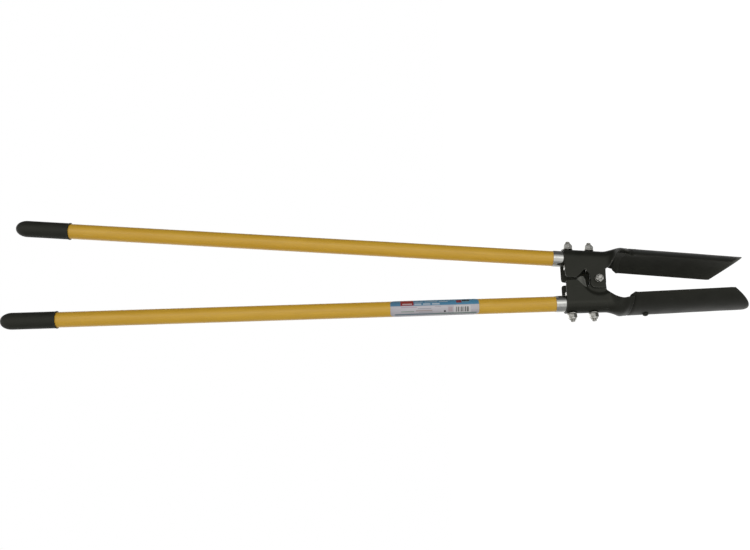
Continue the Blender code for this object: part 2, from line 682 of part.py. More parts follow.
def build_arm(side, turn, root, parts, socket):
    arm = empty(side + "_arm", root)
    arm.matrix_local = Matrix.Rotation(turn, 4, "X")
    frames = {"arm": None, "handle": handle_frame(), "rivet": rivet_frame(RIVET_AT[side])}
    drills = {}
    for level, station in SOCKET_STATIONS.items():
        place_socket(f"{side}_{level}_socket", arm, station, socket)
        across = socket_frame(station, 0)
        drills[level] = cutter(f"cut_{side}_{level}", arm, SOCKET.shank_r, 40, across)
    drills["pivot"] = cutter(f"cut_{side}_pivot", arm, PIVOT.shank_r, 40)
    drills["rivet"] = cutter(f"cut_{side}_rivet", arm, RIVET_R, 20, frames["rivet"])
    for name, mesh, finish, frame, drill_names in parts:
        piece = place(f"{side}_{name}", mesh, arm, finish, frames[frame])
        for drill_name in drill_names:
            cut(piece, drills[drill_name])
    return arm


def build():
    for old in list(bpy.data.objects):
        bpy.data.objects.remove(old)
    root = empty("post_hole_digger")
    root.matrix_world = Matrix(
        ((0, 1, 0, 0), (0, 0, -1, 0), (-1, 0, 0, BLADE_BOTTOM * MM), (0, 0, 0, 1))
    )
    finish = make_finishes()
    parts = arm_parts(finish)
    socket = socket_parts(finish)
    build_arm("right", 0.0, root, parts, socket)
    left_arm = build_arm("left", math.pi, root, parts, socket)
    place("handle_label", label_mesh(), left_arm, finish["label"], label_frame())
    place_pivot(root, finish)


build()
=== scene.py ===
"""Looks of the clamshell post hole digger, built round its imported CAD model.

Each visible piece is modelled in its own local frame in millimetres and placed in metres. Both arms
are modelled in one "arm frame": the pivot axis is Z, the blade points along +X, the handle along -X,
and the arm lies on the +Y side. The left arm is the right one turned half a turn about X. The tool
stands upright on its blade tips: world +Z is arm -X, world +X is arm +Y, world +Y is arm -Z.
Of each head's two flat cheeks, the near one is on the arm's +Z side and the far one on its -Z side.
"""

import json
import math

import bmesh
import bpy
import numpy as np
from mathutils import Matrix, Vector


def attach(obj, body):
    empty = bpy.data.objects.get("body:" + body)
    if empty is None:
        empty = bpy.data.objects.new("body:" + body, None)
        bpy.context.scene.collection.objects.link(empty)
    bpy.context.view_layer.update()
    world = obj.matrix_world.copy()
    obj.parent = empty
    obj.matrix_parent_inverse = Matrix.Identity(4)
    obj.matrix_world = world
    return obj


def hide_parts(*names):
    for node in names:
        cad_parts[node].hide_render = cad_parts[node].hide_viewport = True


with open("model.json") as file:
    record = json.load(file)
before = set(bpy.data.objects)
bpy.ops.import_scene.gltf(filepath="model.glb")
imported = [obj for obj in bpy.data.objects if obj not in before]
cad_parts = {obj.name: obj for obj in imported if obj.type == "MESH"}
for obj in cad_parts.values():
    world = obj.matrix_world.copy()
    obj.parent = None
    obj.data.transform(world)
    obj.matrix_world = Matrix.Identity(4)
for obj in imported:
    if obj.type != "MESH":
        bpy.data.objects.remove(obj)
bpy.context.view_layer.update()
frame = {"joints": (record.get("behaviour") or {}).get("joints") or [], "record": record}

# ===================================================================== sizes, in mm unless noted
MM = 0.001  # metres
GAP = 0.35  # between neighbouring pieces
SEAT_GAP = 0.3  # under nuts, and round the tube
HOLE_GAP = 0.3  # round a pin, on the radius

# handle, by its radii and its stations up from its foot
HANDLE_SPREAD = math.radians(2.65)
HANDLE_OFFSET = 45.6  # from the pivot axis to the handle's foot
TUBE_R = 15.875
TUBE_BORE_R = 12.7
TUBE_FOOT = -3.0
TUBE_TOP = 1198.0
CORE_R = TUBE_BORE_R - GAP
CORE_TOP = 100.0
SLEEVE_BORE_R = TUBE_R + 0.3  # of ferrule and grip
FERRULE_R = 17.25
FERRULE_TOP = 88.2
GRIP_R = 17.2
GRIP_RIM_R = 17.9
GRIP_FOOT = 1103.0
GRIP_END = 1218.0
GRIP_DOME = 24.0
LABEL_FROM = 246.5
LABEL_TO = 427.0
LABEL_THICK = 0.25
LABEL_MID_R = TUBE_R + 0.2 + LABEL_THICK / 2
LABEL_FILM_R = TUBE_R + 0.2
LABEL_HALF_ANGLE = math.radians(82)
LABEL_TURN = math.radians(-11.4)
LABEL_CORNER = 13.0

# pressed head: two flat cheeks joined by a half-round bend, and a neck curved to fit the blade
SHEET = 3.0
HEAD_HALF = 19.1  # middle of the head to the middle of a cheek
HEAD_FACE = HEAD_HALF + SHEET / 2
HEAD_MOUTH = -67.5
NECK_START = 14.0
NECK_DONE = 52.0
NECK_END = 59.6
NECK_SWELL = 1.25
JOGGLE = SHEET + GAP  # inward step of the far cheek round the pivot
JOGGLE_FULL_R = 28.0
JOGGLE_NONE_R = 37.0
EAR_UPPER_X = -16.6
EAR_LOWER_X = 15.2
EAR_END_Y = -19.4
EAR_UPPER_CORNER = 9.8
EAR_LOWER_CORNER = 10.0

# (x, y) along each cheek's notch, and the x at which each point's ruling meets the bend
NEAR_NOTCH = [
    (-44.6, 3.4), (-41.0, 6.6), (-36.5, 11.2), (-32.5, 15.8), (-29.6, 19.0), (-27.0, 20.3),
    (-24.2, 19.4), (-21.2, 16.4), (-18.8, 11.6), (-17.4, 5.0), (-16.8, -2.6), (-16.6, -9.6),
]
FAR_NOTCH = [
    (-44.6, 0.8), (-41.2, -2.2), (-37.4, -4.4), (-33.2, -5.2), (-28.6, -2.4), (-26.4, 2.6),
    (-25.8, 9.2), (-24.9, 14.6), (-22.4, 17.2), (-19.6, 13.4), (-17.2, 0.0), (-16.6, -9.6),
]
NOTCH_RULINGS = [
    -44.5, -41.5, -37.5, -33.5, -30.5, -28.0, -25.6, -23.2, -20.8, -18.4, -16.0, -13.6,
]
# (x, y of the near edge, y of the far edge) along the neck
NECK_EDGES = [
    (16.8, 22.4, 21.9), (19.0, 22.4, 23.7), (22.5, 21.4, 26.0), (27.0, 21.6, 28.3),
    (32.0, 22.6, 30.2), (37.0, 25.6, 34.0), (42.0, 33.6, 41.0), (47.0, 40.0, 44.0),
    (52.0, 44.0, 44.0), (NECK_END, 44.0, 44.0),
]

# blade, by stations down its leaning axis from the pivot
BLADE_R = 72.0
BLADE_THICK = 2.5
BLADE_CENTRE = 1.7  # y of the roll's axis at the pivot
BLADE_LEAN = math.radians(3.81)
BLADE_HALF_ANGLE = math.radians(53.8)
BLADE_TIP = 305.9
BLADE_CORNER = 261.2
BLADE_TOP = 51.3
BLADE_SIDE_TOP = 61.0
BLADE_TOP_FLAT = math.radians(47.5)  # the top edge starts to slope here
BLADE_EDGE_THICK = 1.0
GROUND_LENGTH = 9.0
STEP_END = 69.0  # end of the finely divided top
SINK = 3.2  # inward step under the neck
SINK_FROM = 66.4
SINK_TO = 60.2
NECK_R = BLADE_R - SINK + GAP + SHEET / 2
TONGUE_TOP = 42.0
TONGUE_END = 113.0
TONGUE_HALF_ANGLE = math.radians(11.5)
WAVE_SEED = {"right": 1.0, "left": 1.0 + 2.3}

# fasteners
RIVET_AT = {"right": 87.0, "left": 96.0}
RIVET_R = 3.25
RIVET_HEAD_R = 6.0
RIVET_HEAD_HEIGHT = 5.4
SOCKET_BOLTS = {"upper": 55.0, "lower": 11.0}  # stations up the handle
BOLT_R = 5.0
BOLT_FLATS = 17.0  # across flats
BOLT_HEAD_HEIGHT = 6.4
BOLT_END = 38.6
WASHER_R = 10.0
WASHER_THICK = 1.8
NUT_HEX_HEIGHT = 8.0
NUT_HEIGHT = 10.8
PIVOT_R = 4.75
PIVOT_FLATS = 14.3
PIVOT_HEAD_HEIGHT = 6.0
PIVOT_WASHER_R = 7.9
PIVOT_WASHER_THICK = 1.6
PIVOT_NUT_HEX_HEIGHT = 7.0
PIVOT_NUT_HEIGHT = 9.6
PIVOT_END_PAST_NUT = 2.0
SPACER_R = 8.0
THREAD_PITCH = 1.5
THREAD_DEPTH = 0.82
RING_POINTS = 72  # round bolts and nuts

SLOT_OF = {row["node"]: row["material_slot"] for row in frame["record"]["subparts"]}
BODIES = frame["record"]["behaviour"]["bodies"]
BODY_OF = {node: body for body, nodes in BODIES.items() for node in nodes}
PIVOT = Vector(frame["joints"][0]["pos_m"])
ROOT = Matrix(((0, 1, 0, 0), (0, 0, -1, 0), (-1, 0, 0, PIVOT.z), (0, 0, 0, 1)))
ARM = {"right": ROOT, "left": ROOT @ Matrix.Rotation(math.pi, 4, "X")}


# ====================================================================================== geometry
def smooth(value, start, end):
    share = min(max((value - start) / (end - start), 0.0), 1.0)
    return share * share * (3 - 2 * share)


def circle(count):
    """Evenly spaced angles round a full turn."""
    return [2 * math.pi * k / count for k in range(count)]


def quarter(steps):
    """Angles from 0 up to, but without, a quarter turn."""
    return [math.pi / 2 * k / steps for k in range(steps)]


def across(count):
    """Even steps from 1 down to -1."""
    return [1 - 2 * k / (count - 1) for k in range(count)]


def mesh_of(name, points, faces, sharp=32, edge=None):
    """A smooth mesh with outward normals; edge is each point's distance from the sheet's edge."""
    mesh = bpy.data.meshes.new(name)
    mesh.from_pydata([tuple(float(c) * MM for c in p) for p in points], [], faces)
    if edge is not None:
        layer = mesh.attributes.new("edge_mm", "FLOAT", "POINT")
        layer.data.foreach_set("value", np.asarray(edge, np.float32))
    work = bmesh.new()
    work.from_mesh(mesh)
    bmesh.ops.recalc_face_normals(work, faces=work.faces)
    if work.calc_volume(signed=True) < 0:
        bmesh.ops.reverse_faces(work, faces=work.faces)
    work.to_mesh(mesh)
    work.free()
    mesh.shade_smooth()
    mesh.set_sharp_from_angle(angle=math.radians(sharp))
    return mesh


def turned(name, profile, segments=96):
    """A closed turned solid from (radius, height) points; a radius of 0 at an end closes it."""
    points, rings = [], []
    for radius, height in profile:
        if radius == 0:
            rings.append([len(points)] * segments)
            points.append((0, 0, height))
            continue
        rings.append(list(range(len(points), len(points) + segments)))
        points += [(radius * math.cos(a), radius * math.sin(a), height) for a in circle(segments)]
    faces = []
    for n in range(len(rings) if profile[0][0] != 0 else len(rings) - 1):
        here, above = rings[n], rings[(n + 1) % len(rings)]
        for k in range(segments):
            after = (k + 1) % segments
            # a quad at the axis drops its doubled corner
            corners = tuple(dict.fromkeys((here[k], here[after], above[after], above[k])))
            if len(corners) > 2:
                faces.append(corners)
    return mesh_of(name, points, faces)


def rounded(corners, radius, steps=4):
    """The (radius, height) polygon with its corners rounded; a third value is a corner's own size."""
    outline = []
    count = len(corners)
    for k, corner in enumerate(corners):
        here = Vector(corner[:2])
        size = corner[2] if len(corner) > 2 else radius
        before = Vector(corners[(k - 1) % count][:2]) - here
        after = Vector(corners[(k + 1) % count][:2]) - here
        if size <= 0:
            outline.append(tuple(here))
            continue
        turn = before.angle(after)
        reach = min(size / math.tan(turn / 2), before.length * 0.48, after.length * 0.48)
        start = here + before.normalized() * reach
        end = here + after.normalized() * reach
        for s in range(steps + 1):
            t = s / steps
            outline.append(tuple(start * (1 - t) ** 2 + here * 2 * t * (1 - t) + end * t * t))
    return outline


def ring(inner, outer, low, high, radius):
    return rounded([(outer, low), (outer, high), (inner, high), (inner, low)], radius)


def edge_distance(mid):
    """Distance of each grid point from the sheet's edge, along the grid lines."""
    rows, cols = mid.shape[:2]
    down = np.cumsum(np.linalg.norm(np.diff(mid, axis=0), axis=2), axis=0)
    along = np.cumsum(np.linalg.norm(np.diff(mid, axis=1), axis=2), axis=1)
    down = np.concatenate([np.zeros((1, cols)), down])
    along = np.concatenate([np.zeros((rows, 1)), along], axis=1)
    nearer_row = np.minimum(down, down[-1] - down)
    return np.minimum(nearer_row, np.minimum(along, along[:, -1:] - along))


def sheet_solid(name, mid, thickness, radius):
    """Thickens a grid of middle-surface points along its normals, with a rounded rim all round."""
    mid = np.asarray(mid, float)
    rows, cols = mid.shape[:2]
    normal = np.cross(np.gradient(mid, axis=0), np.gradient(mid, axis=1))
    normal /= np.linalg.norm(normal, axis=2, keepdims=True)
    half = np.broadcast_to(np.asarray(thickness, float), (rows, cols)) / 2
    edge = edge_distance(mid).reshape(-1)

    loop = [(0, j) for j in range(cols)] + [(i, cols - 1) for i in range(1, rows)]
    loop += [(rows - 1, j) for j in range(cols - 2, -1, -1)]
    loop += [(i, 0) for i in range(rows - 2, 0, -1)]
    loop_i, loop_j = np.array(loop).T
    border = mid[loop_i, loop_j]
    normals = normal[loop_i, loop_j]
    halves = half[loop_i, loop_j][:, None]
    tangent = np.roll(border, -1, axis=0) - np.roll(border, 1, axis=0)
    out = np.cross(tangent, normals)
    out /= np.linalg.norm(out, axis=1, keepdims=True)
    inward = mid[np.clip(loop_i, 1, rows - 2), np.clip(loop_j, 1, cols - 2)]
    if (np.einsum("ij,ij->i", out, border - inward)).sum() < 0:
        out = -out
    size = np.minimum(radius, halves * 0.92)

    upper = mid + normal * half[..., None]
    lower = mid - normal * half[..., None]
    upper[loop_i, loop_j] = border + normals * halves - out * size
    lower[loop_i, loop_j] = border - normals * halves - out * size
    points = [upper.reshape(-1, 3), lower.reshape(-1, 3)]
    distance = [edge, edge]
    rims = []
    # the two rounded edges of the rim: which face, and the angle from the normal
    for face, turn in ((1, 30), (1, 60), (1, 90), (-1, 90), (-1, 120), (-1, 150)):
        angle = math.radians(turn)
        rise = face * (halves - size) + size * math.cos(angle)
        start = rows * cols * 2 + len(rims) * len(loop)
        rims.append([start + k for k in range(len(loop))])
        points.append(border + normals * rise + out * size * (math.sin(angle) - 1))
        distance.append(np.zeros(len(loop)))

    def top(i, j):
        return i * cols + j

    def low(i, j):
        return rows * cols + i * cols + j

    faces = []
    for i in range(rows - 1):
        for j in range(cols - 1):
            faces.append((top(i, j), top(i + 1, j), top(i + 1, j + 1), top(i, j + 1)))
            faces.append((low(i, j), low(i, j + 1), low(i + 1, j + 1), low(i + 1, j)))
    chains = [[top(i, j) for i, j in loop]] + rims + [[low(i, j) for i, j in loop]]
    for here, below in zip(chains, chains[1:]):
        for k in range(len(loop)):
            after = (k + 1) % len(loop)
            faces.append((here[k], below[k], below[after], here[after]))
    return mesh_of(name, np.concatenate(points), faces, 40, np.concatenate(distance))


def spline(points, count):
    """count points evenly spaced along the smooth curve through points."""
    points = np.asarray(points, float)
    before_first, after_last = 2 * points[0] - points[1], 2 * points[-1] - points[-2]
    padded = np.concatenate([[before_first], points, [after_last]])
    fine = []
    for k in range(len(points) - 1):
        p0, p1, p2, p3 = padded[k : k + 4]
        # tangents scaled to uneven spacing, so that the curve doesn't overshoot
        pairs = ((p0, p1), (p1, p2), (p2, p3))
        d0, d1, d2 = (max(np.linalg.norm(b - a), 1e-6) ** 0.5 for a, b in pairs)
        leave = ((p1 - p0) / d0 - (p2 - p0) / (d0 + d1) + (p2 - p1) / d1) * d1
        reach = ((p2 - p1) / d1 - (p3 - p1) / (d1 + d2) + (p3 - p2) / d2) * d1
        for s in range(24):
            t = s / 24
            fine.append(
                (2 * t**3 - 3 * t**2 + 1) * p1
                + (t**3 - 2 * t**2 + t) * leave
                + (-2 * t**3 + 3 * t**2) * p2
                + (t**3 - t**2) * reach
            )
    fine.append(points[-1])
    fine = np.array(fine)
    steps = np.linalg.norm(np.diff(fine, axis=0), axis=1)
    length = np.concatenate([[0], np.cumsum(steps)])
    at = np.linspace(0, length[-1], count)
    return np.stack([np.interp(at, length, column) for column in fine.T], axis=1)


# ---- frames on the handle
ALONG = Vector((-math.cos(HANDLE_SPREAD), math.sin(HANDLE_SPREAD), 0))
OUTWARD = Vector((math.sin(HANDLE_SPREAD), math.cos(HANDLE_SPREAD), 0))
FOOT = Vector((0, HANDLE_OFFSET, 0))
ARM_Z = Vector((0, 0, 1))


def frame_at(origin, x, y, z):
    made = Matrix((x, y, z)).transposed().to_4x4()
    made.translation = Vector(origin)
    return made


def millimetres(matrix):
    return Matrix.Translation(matrix.translation * MM) @ matrix.to_3x3().to_4x4()


def on_bolt(station, outward):
    """Frame with Z along a socket bolt, at a station up the handle and a distance outwards."""
    origin = FOOT + ALONG * station + OUTWARD * outward
    return millimetres(frame_at(origin, ARM_Z.cross(OUTWARD), ARM_Z, OUTWARD))


def handle_y(x):
    return HANDLE_OFFSET - x * math.tan(HANDLE_SPREAD)


# ---- handle pieces, with Z up the handle from its foot
def core_mesh():
    corners = [(0, TUBE_FOOT, 0), (CORE_R, TUBE_FOOT), (CORE_R, CORE_TOP), (0, CORE_TOP, 0)]
    return turned("core", rounded(corners, 0.8), RING_POINTS)


def ferrule_mesh():
    """Sleeve whose upper edge is spun in slightly over the tube."""
    corners = [
        (FERRULE_R, TUBE_FOOT, 0.3),
        (FERRULE_R, FERRULE_TOP - 3.2, 2.0),
        (FERRULE_R - 0.28, FERRULE_TOP - 1.8, 1.0),
        (FERRULE_R - 0.32, FERRULE_TOP, 0.45),
        (SLEEVE_BORE_R, FERRULE_TOP, 0.25),
        (SLEEVE_BORE_R, TUBE_FOOT, 0.2),
    ]
    return turned("ferrule", rounded(corners, 0.3))


def grip_mesh():
    """Cap with a thicker lip at its foot and a domed end."""
    bore = SLEEVE_BORE_R
    inside = [(0, TUBE_TOP + 0.4), (bore - 0.4, TUBE_TOP + 0.4), (bore, TUBE_TOP)]
    inside.append((bore, GRIP_FOOT + 0.8))
    lip = [
        (bore + 0.5, GRIP_FOOT, 0.3),
        (GRIP_RIM_R, GRIP_FOOT, 0.6),
        (GRIP_RIM_R, GRIP_FOOT + 2.2, 0.9),
        (GRIP_R, GRIP_FOOT + 4.5, 1.6),
        (GRIP_R, GRIP_FOOT + 30, 0),
    ]
    lip = rounded(lip, 0.5)[:-1]
    length = GRIP_END - GRIP_DOME - GRIP_FOOT - 12
    wall = [
        (GRIP_R - 0.05 * math.sin(math.pi * k / 12) ** 2, GRIP_FOOT + 8 + length * k / 12)
        for k in range(13)
    ]
    shoulder = GRIP_END - GRIP_DOME
    dome = [
        (GRIP_R * math.cos(a) ** 0.9, shoulder + GRIP_DOME * math.sin(a)) for a in quarter(28)
    ]
    return turned("grip", inside + lip + wall + dome + [(0, GRIP_END)])


def label_mesh(rows=41, cols=161):
    """Film wrapped round the tube, with round corners; angle 0 is at local +Y."""
    columns = []
    for share in across(cols):
        angle = LABEL_TURN + LABEL_HALF_ANGLE * share
        edge = (1 - abs(share)) * LABEL_HALF_ANGLE * LABEL_FILM_R
        inset = 0.0
        if edge < LABEL_CORNER:
            inset = LABEL_CORNER - math.sqrt(LABEL_CORNER**2 - (LABEL_CORNER - edge) ** 2)
        columns.append((angle, LABEL_FROM + inset, LABEL_TO - inset))
    points = [
        [
            (
                -LABEL_MID_R * math.sin(angle),
                LABEL_MID_R * math.cos(angle),
                high + (low - high) * i / (rows - 1),
            )
            for angle, low, high in columns
        ]
        for i in range(rows)
    ]
    return sheet_solid("label", points, LABEL_THICK, 0.08)


# ---- fasteners, with Z along their axis
def polar_ring(radii, heights):
    """A ring of points; radii and heights are single values or one for each point."""
    radii = np.broadcast_to(radii, RING_POINTS)
    heights = np.broadcast_to(heights, RING_POINTS)
    return [
        (radius * math.cos(a), radius * math.sin(a), height)
        for a, radius, height in zip(circle(RING_POINTS), radii, heights)
    ]


def flat_radius(flats):
    """Radius of the round flat left inside a hexagon's chamfer."""
    return flats / 2 * 0.955


def hex_rings(flats, height, chamfer_low=True):
    """Rings of a hexagon from bottom to top, its rims chamfered and its upright corners eased."""
    sixth = math.pi / 6
    flat = flat_radius(flats)
    radii = np.array([
        min(flats / 2 / math.cos((a + sixth) % (math.pi / 3) - sixth), flats / 2 * 1.135)
        for a in circle(RING_POINTS)
    ])
    drop = np.maximum(radii - flat, 0) * math.tan(math.radians(28))
    if chamfer_low:
        rings = [polar_ring(flat, 0.0), polar_ring(radii, drop)]
    else:
        rings = [polar_ring(radii * 0.985, 0.0), polar_ring(radii, 0.2)]
    rings.append(polar_ring(radii, height - drop))
    rings.append(polar_ring(flat, height - 0.04))
    rings.append(polar_ring(flat - 0.35, height))
    return rings


def rings_mesh(name, rings, closed, sharp=24):
    """Joins rings of points; the last meets the first if closed, else both ends are capped."""
    points = [p for r in rings for p in r]
    count = len(rings[0])
    faces = []
    for n in range(len(rings) if closed else len(rings) - 1):
        here, above = n * count, (n + 1) % len(rings) * count
        for k in range(count):
            after = (k + 1) % count
            faces.append((here + k, here + after, above + after, above + k))
    if not closed:
        faces.append(tuple(range(count)))
        faces.append(tuple((len(rings) - 1) * count + k for k in range(count)))
    return mesh_of(name, points, faces, sharp)


def collar_of(flats, bore):
    """Outer radius of a nut's locking collar and radius of the pocket in it."""
    radius = flats / 2 * 0.9
    return radius, (bore + radius) / 2


def nut_mesh(name, flats, hex_height, height, bore):
    """Hexagon, then a collar whose edge is rolled in over the nylon ring."""
    radius, pocket = collar_of(flats, bore)
    wall = radius - 0.15
    roll = 1.0
    rings = [polar_ring(bore, 0.35), polar_ring(bore + 0.35, 0.0)] + hex_rings(flats, hex_height)
    rings.append(polar_ring(radius + 0.05, hex_height - 0.05))
    rings.append(polar_ring(wall, hex_height + 0.5))
    rings.append(polar_ring(wall, height - roll))
    for k in range(1, 6):
        a = math.pi / 2 * k / 5
        rings.append(polar_ring(wall - roll * (1 - math.cos(a)), height - roll + roll * math.sin(a)))
    rings.append(polar_ring(pocket, height - 0.05))
    rings.append(polar_ring(pocket - 0.02, height - 0.5))
    rings.append(polar_ring(pocket, hex_height + 0.2))
    rings.append(polar_ring(bore, hex_height + 0.2))
    return rings_mesh(name, rings, True)


def nylon_mesh(name, flats, hex_height, height, bore):
    outer = collar_of(flats, bore)[1] - 0.25
    return turned(name, ring(bore, outer, hex_height + 0.45, height - 0.35, 0.35), RING_POINTS)


def thread_radius(radius, z, angle, start, end):
    """Outer surface of a 60 degree thread that fades out at both ends."""
    phase = (z / THREAD_PITCH - angle / (2 * math.pi)) % 1.0
    flank = min(max((abs(phase - 0.5) * 2 - 0.14) / 0.72, 0.0), 1.0)
    depth = THREAD_DEPTH * smooth(z, start, start + 1.2) * smooth(end - z, 0.2, 1.0)
    return radius - 0.05 - depth * flank


def bolt_mesh(name, flats, head_height, radius, length, threaded):
    """Plain head from 0 down to -head_height, plain shank, threaded end with a chamfer."""
    rings = [polar_ring((flat_radius(flats) - 0.35) * 0.5, -head_height)]
    for hex_ring in reversed(hex_rings(flats, head_height, False)):
        rings.append([(x, y, -z) for x, y, z in hex_ring])
    start = length - threaded
    shank = [(radius + 0.5, 0.0), (radius + 0.1, 0.25), (radius, 0.7), (radius, start - 0.2)]
    rings += [polar_ring(*point) for point in shank]
    z = start
    while z < length - 0.9:
        radii = [thread_radius(radius, z, a, start, length) for a in circle(RING_POINTS)]
        rings.append(polar_ring(radii, z))
        z += THREAD_PITCH / 8
    end = [(radius - 0.45, length - 0.7), (radius - 1.15, length - 0.02), (radius - 1.5, length)]
    rings += [polar_ring(*point) for point in end + [(0.6, length)]]
    return rings_mesh(name, rings, False, 30)


def washer_mesh(name, inner, outer, thick):
    corners = [(outer, 0, 0.25), (outer, thick, 0.55), (inner, thick, 0.3), (inner, 0, 0.2)]
    return turned(name, rounded(corners, 0.3))


def rivet_mesh():
    """Domed head outside the blade, flattened tail inside the tongue; Z = 0 is the blade's face."""
    inner = -(BLADE_THICK + GAP + SHEET)
    seat = 0.55
    # (radius, height from the tongue's inner face)
    tail = [
        (0, 2.4), (3.9, 2.4), (4.5, 2.3), (5.0, 2.0), (5.3, 1.6),
        (5.4, 1.2), (5.4, 0.6), (5.2, 0.45), (RIVET_R, 0.45),
    ]
    profile = [(radius, inner - depth) for radius, depth in tail]
    profile += [(RIVET_R, seat), (RIVET_HEAD_R - 0.2, seat), (RIVET_HEAD_R, seat + 0.25)]
    rise = RIVET_HEAD_HEIGHT - 0.8 - seat
    profile += [
        (RIVET_HEAD_R * math.cos(a), seat + 0.8 + rise * math.sin(a)) for a in quarter(16)
    ]
    return turned("rivet", profile + [(0, RIVET_HEAD_HEIGHT)], 64)


# ---- pressed heads
def cheek_gap(x):
    return -x * math.tan(HANDLE_SPREAD) + 0.4


def cheek_edge(notch, ear_end):
    """A cheek's free edge from the mouth to the end of its ear, as (x, y, x of the ruling's start
    at the bend)."""
    lip = HEAD_MOUTH + 2.9
    points = [(HEAD_MOUTH, 10.0, HEAD_MOUTH), (HEAD_MOUTH + 0.7, 6.2, HEAD_MOUTH + 0.9)]
    points.append((lip, cheek_gap(lip) + 0.7, lip))
    points += [(x, cheek_gap(x), x) for x in (-59.0, -53.0, -47.5)]
    points += [(x, y, ruling) for (x, y), ruling in zip(notch, NOTCH_RULINGS)]
    for k, a in enumerate(quarter(5)[1:], 1):
        x = EAR_UPPER_X + EAR_UPPER_CORNER * (1 - math.cos(a))
        y = ear_end + EAR_UPPER_CORNER * (1 - math.sin(a))
        points.append((x, y, -13.6 + 2.0 * k))
    points += [(-6.8, ear_end, -4.0), (-1.0, ear_end, -0.4), (4.6, ear_end, 3.0)]
    for k, a in enumerate(quarter(5)[1:], 1):
        x = 4.6 + EAR_LOWER_CORNER * math.sin(a)
        y = ear_end + EAR_LOWER_CORNER * (1 - math.cos(a))
        points.append((x, y, 3.0 + 1.5 * k))
    points += [(EAR_LOWER_X - 0.4, -8.4, 10.2), (EAR_LOWER_X, 0.0, 11.6)]
    points += [(EAR_LOWER_X + 0.3, 9.0, 12.9), (EAR_LOWER_X + 0.6, 17.0, 14.2)]
    return points


def head_stations():
    """(near edge x, y, far edge x, y, ruling start x) from the mouth to the end of the neck."""
    near_edge = cheek_edge(NEAR_NOTCH, EAR_END_Y)
    far_edge = cheek_edge(FAR_NOTCH, EAR_END_Y + 0.4)
    stations = [
        (near[0], near[1], far[0], far[1], near[2]) for near, far in zip(near_edge, far_edge)
    ]
    return stations + [(x, near_y, x, far_y, x) for x, near_y, far_y in NECK_EDGES]


def neck_arc(start, share):
    """One row of the neck on the blade's roll; share runs from 1 at the near edge to -1."""
    half_near = math.radians(30.0 + 14.0 * smooth(start, 30.0, 60.0))
    half_far = math.radians(41.0 + 5.6 * smooth(start, 24.0, 46.0))
    fan = np.where(share > 0, half_near, half_far) * share
    centre = BLADE_CENTRE - start * math.tan(BLADE_LEAN)
    radius = NECK_R + NECK_SWELL * (1 - smooth(start, 44.0, 57.0))
    radius += 0.25 * smooth(start, NECK_END - 3.0, NECK_END)
    x = np.full(len(share), start)
    return np.stack([x, centre + radius * np.cos(fan), radius * np.sin(fan)], axis=1)


def head_mesh(rows=164, near_points=16, bend_points=33, far_points=30):
    """Each row runs up the near cheek, round the bend and down the far cheek; rows change into
    arcs along the neck."""
    leg = handle_y(NECK_START) - 22.0
    bend = math.pi * HEAD_HALF / 2
    share = [leg * (1 - k / near_points) + bend for k in range(near_points)]
    share += [bend * step for step in across(bend_points)]
    share += [-bend - leg * (k + 1) / far_points for k in range(far_points)]
    share = np.array(share) / (leg + bend)
    grid = []
    for near_x, near_y, far_x, far_y, start in spline(head_stations(), rows):
        top = handle_y(start)
        row = []
        for k in range(near_points):
            t = k / near_points
            row.append((near_x + (start - near_x) * t, near_y + (top - near_y) * t, HEAD_HALF))
        for k in range(bend_points):
            a = math.pi * k / (bend_points - 1)
            row.append((start, top + HEAD_HALF * math.sin(a), HEAD_HALF * math.cos(a)))
        for k in range(far_points):
            t = (k + 1) / far_points
            x, y = start + (far_x - start) * t, top + (far_y - top) * t
            step = JOGGLE * (1 - smooth(math.hypot(x, y), JOGGLE_FULL_R, JOGGLE_NONE_R))
            row.append((x, y, -HEAD_HALF + step))
        row = np.array(row)
        arched = smooth(start, NECK_START, NECK_DONE)
        if arched > 0:
            row = row * (1 - arched) + neck_arc(start, share) * arched
        grid.append(row)
    return sheet_solid("head", grid, SHEET, 0.75)


# ---- blades
def blade_point(station, angle, radius):
    return (
        station * math.cos(BLADE_LEAN),
        BLADE_CENTRE + radius * math.cos(angle) - station * math.sin(BLADE_LEAN),
        radius * math.sin(angle),
    )


def unevenness(station, share, end, seed):
    """A few tenths of a millimetre from rolling, fading out at the edges."""
    wave = 0.10 * math.sin(station / 31.0 + seed + 2.2 * share)
    wave += 0.06 * math.sin(station / 12.0 + 5.1 * share + 2 * seed)
    fade = smooth(station, 75.0, 110.0) * smooth(end - station, 0.0, 12.0)
    return wave * (fade * (1 - smooth(abs(share), 0.85, 1.0)))


def blade_mesh(seed, rows=110, cols=89, top_rows=20):
    """Rolled sheet: straight sides, a curved cutting end ground thin, and the top stepped in
    under the neck."""
    points, thick = [], []
    for i in range(rows):
        line, thin = [], []
        for share in across(cols):
            angle = BLADE_HALF_ANGLE * share
            slope = smooth(abs(angle), BLADE_TOP_FLAT - 0.02, BLADE_HALF_ANGLE + 0.02)
            top = BLADE_TOP + (BLADE_SIDE_TOP - BLADE_TOP) * slope
            curve = BLADE_TIP - BLADE_CORNER
            end = BLADE_TIP - curve * (1 - math.cos(angle)) / (1 - math.cos(BLADE_HALF_ANGLE))
            if i < top_rows:
                station = top + (STEP_END - top) * i / (top_rows - 1)
            else:
                down = (i - top_rows + 1) / (rows - top_rows)
                station = STEP_END + (end - STEP_END) * down ** 0.82
            sink = SINK * smooth(station, SINK_FROM, SINK_TO)
            ground = smooth(end - station, GROUND_LENGTH, 0.0)
            thick_here = BLADE_THICK + (BLADE_EDGE_THICK - BLADE_THICK) * ground
            wave = unevenness(station, share, end, seed)
            line.append(blade_point(station, angle, BLADE_R - sink - thick_here / 2 + wave))
            thin.append(thick_here)
        points.append(line)
        thick.append(thin)
    return sheet_solid("blade", points, np.array(thick), 0.6)


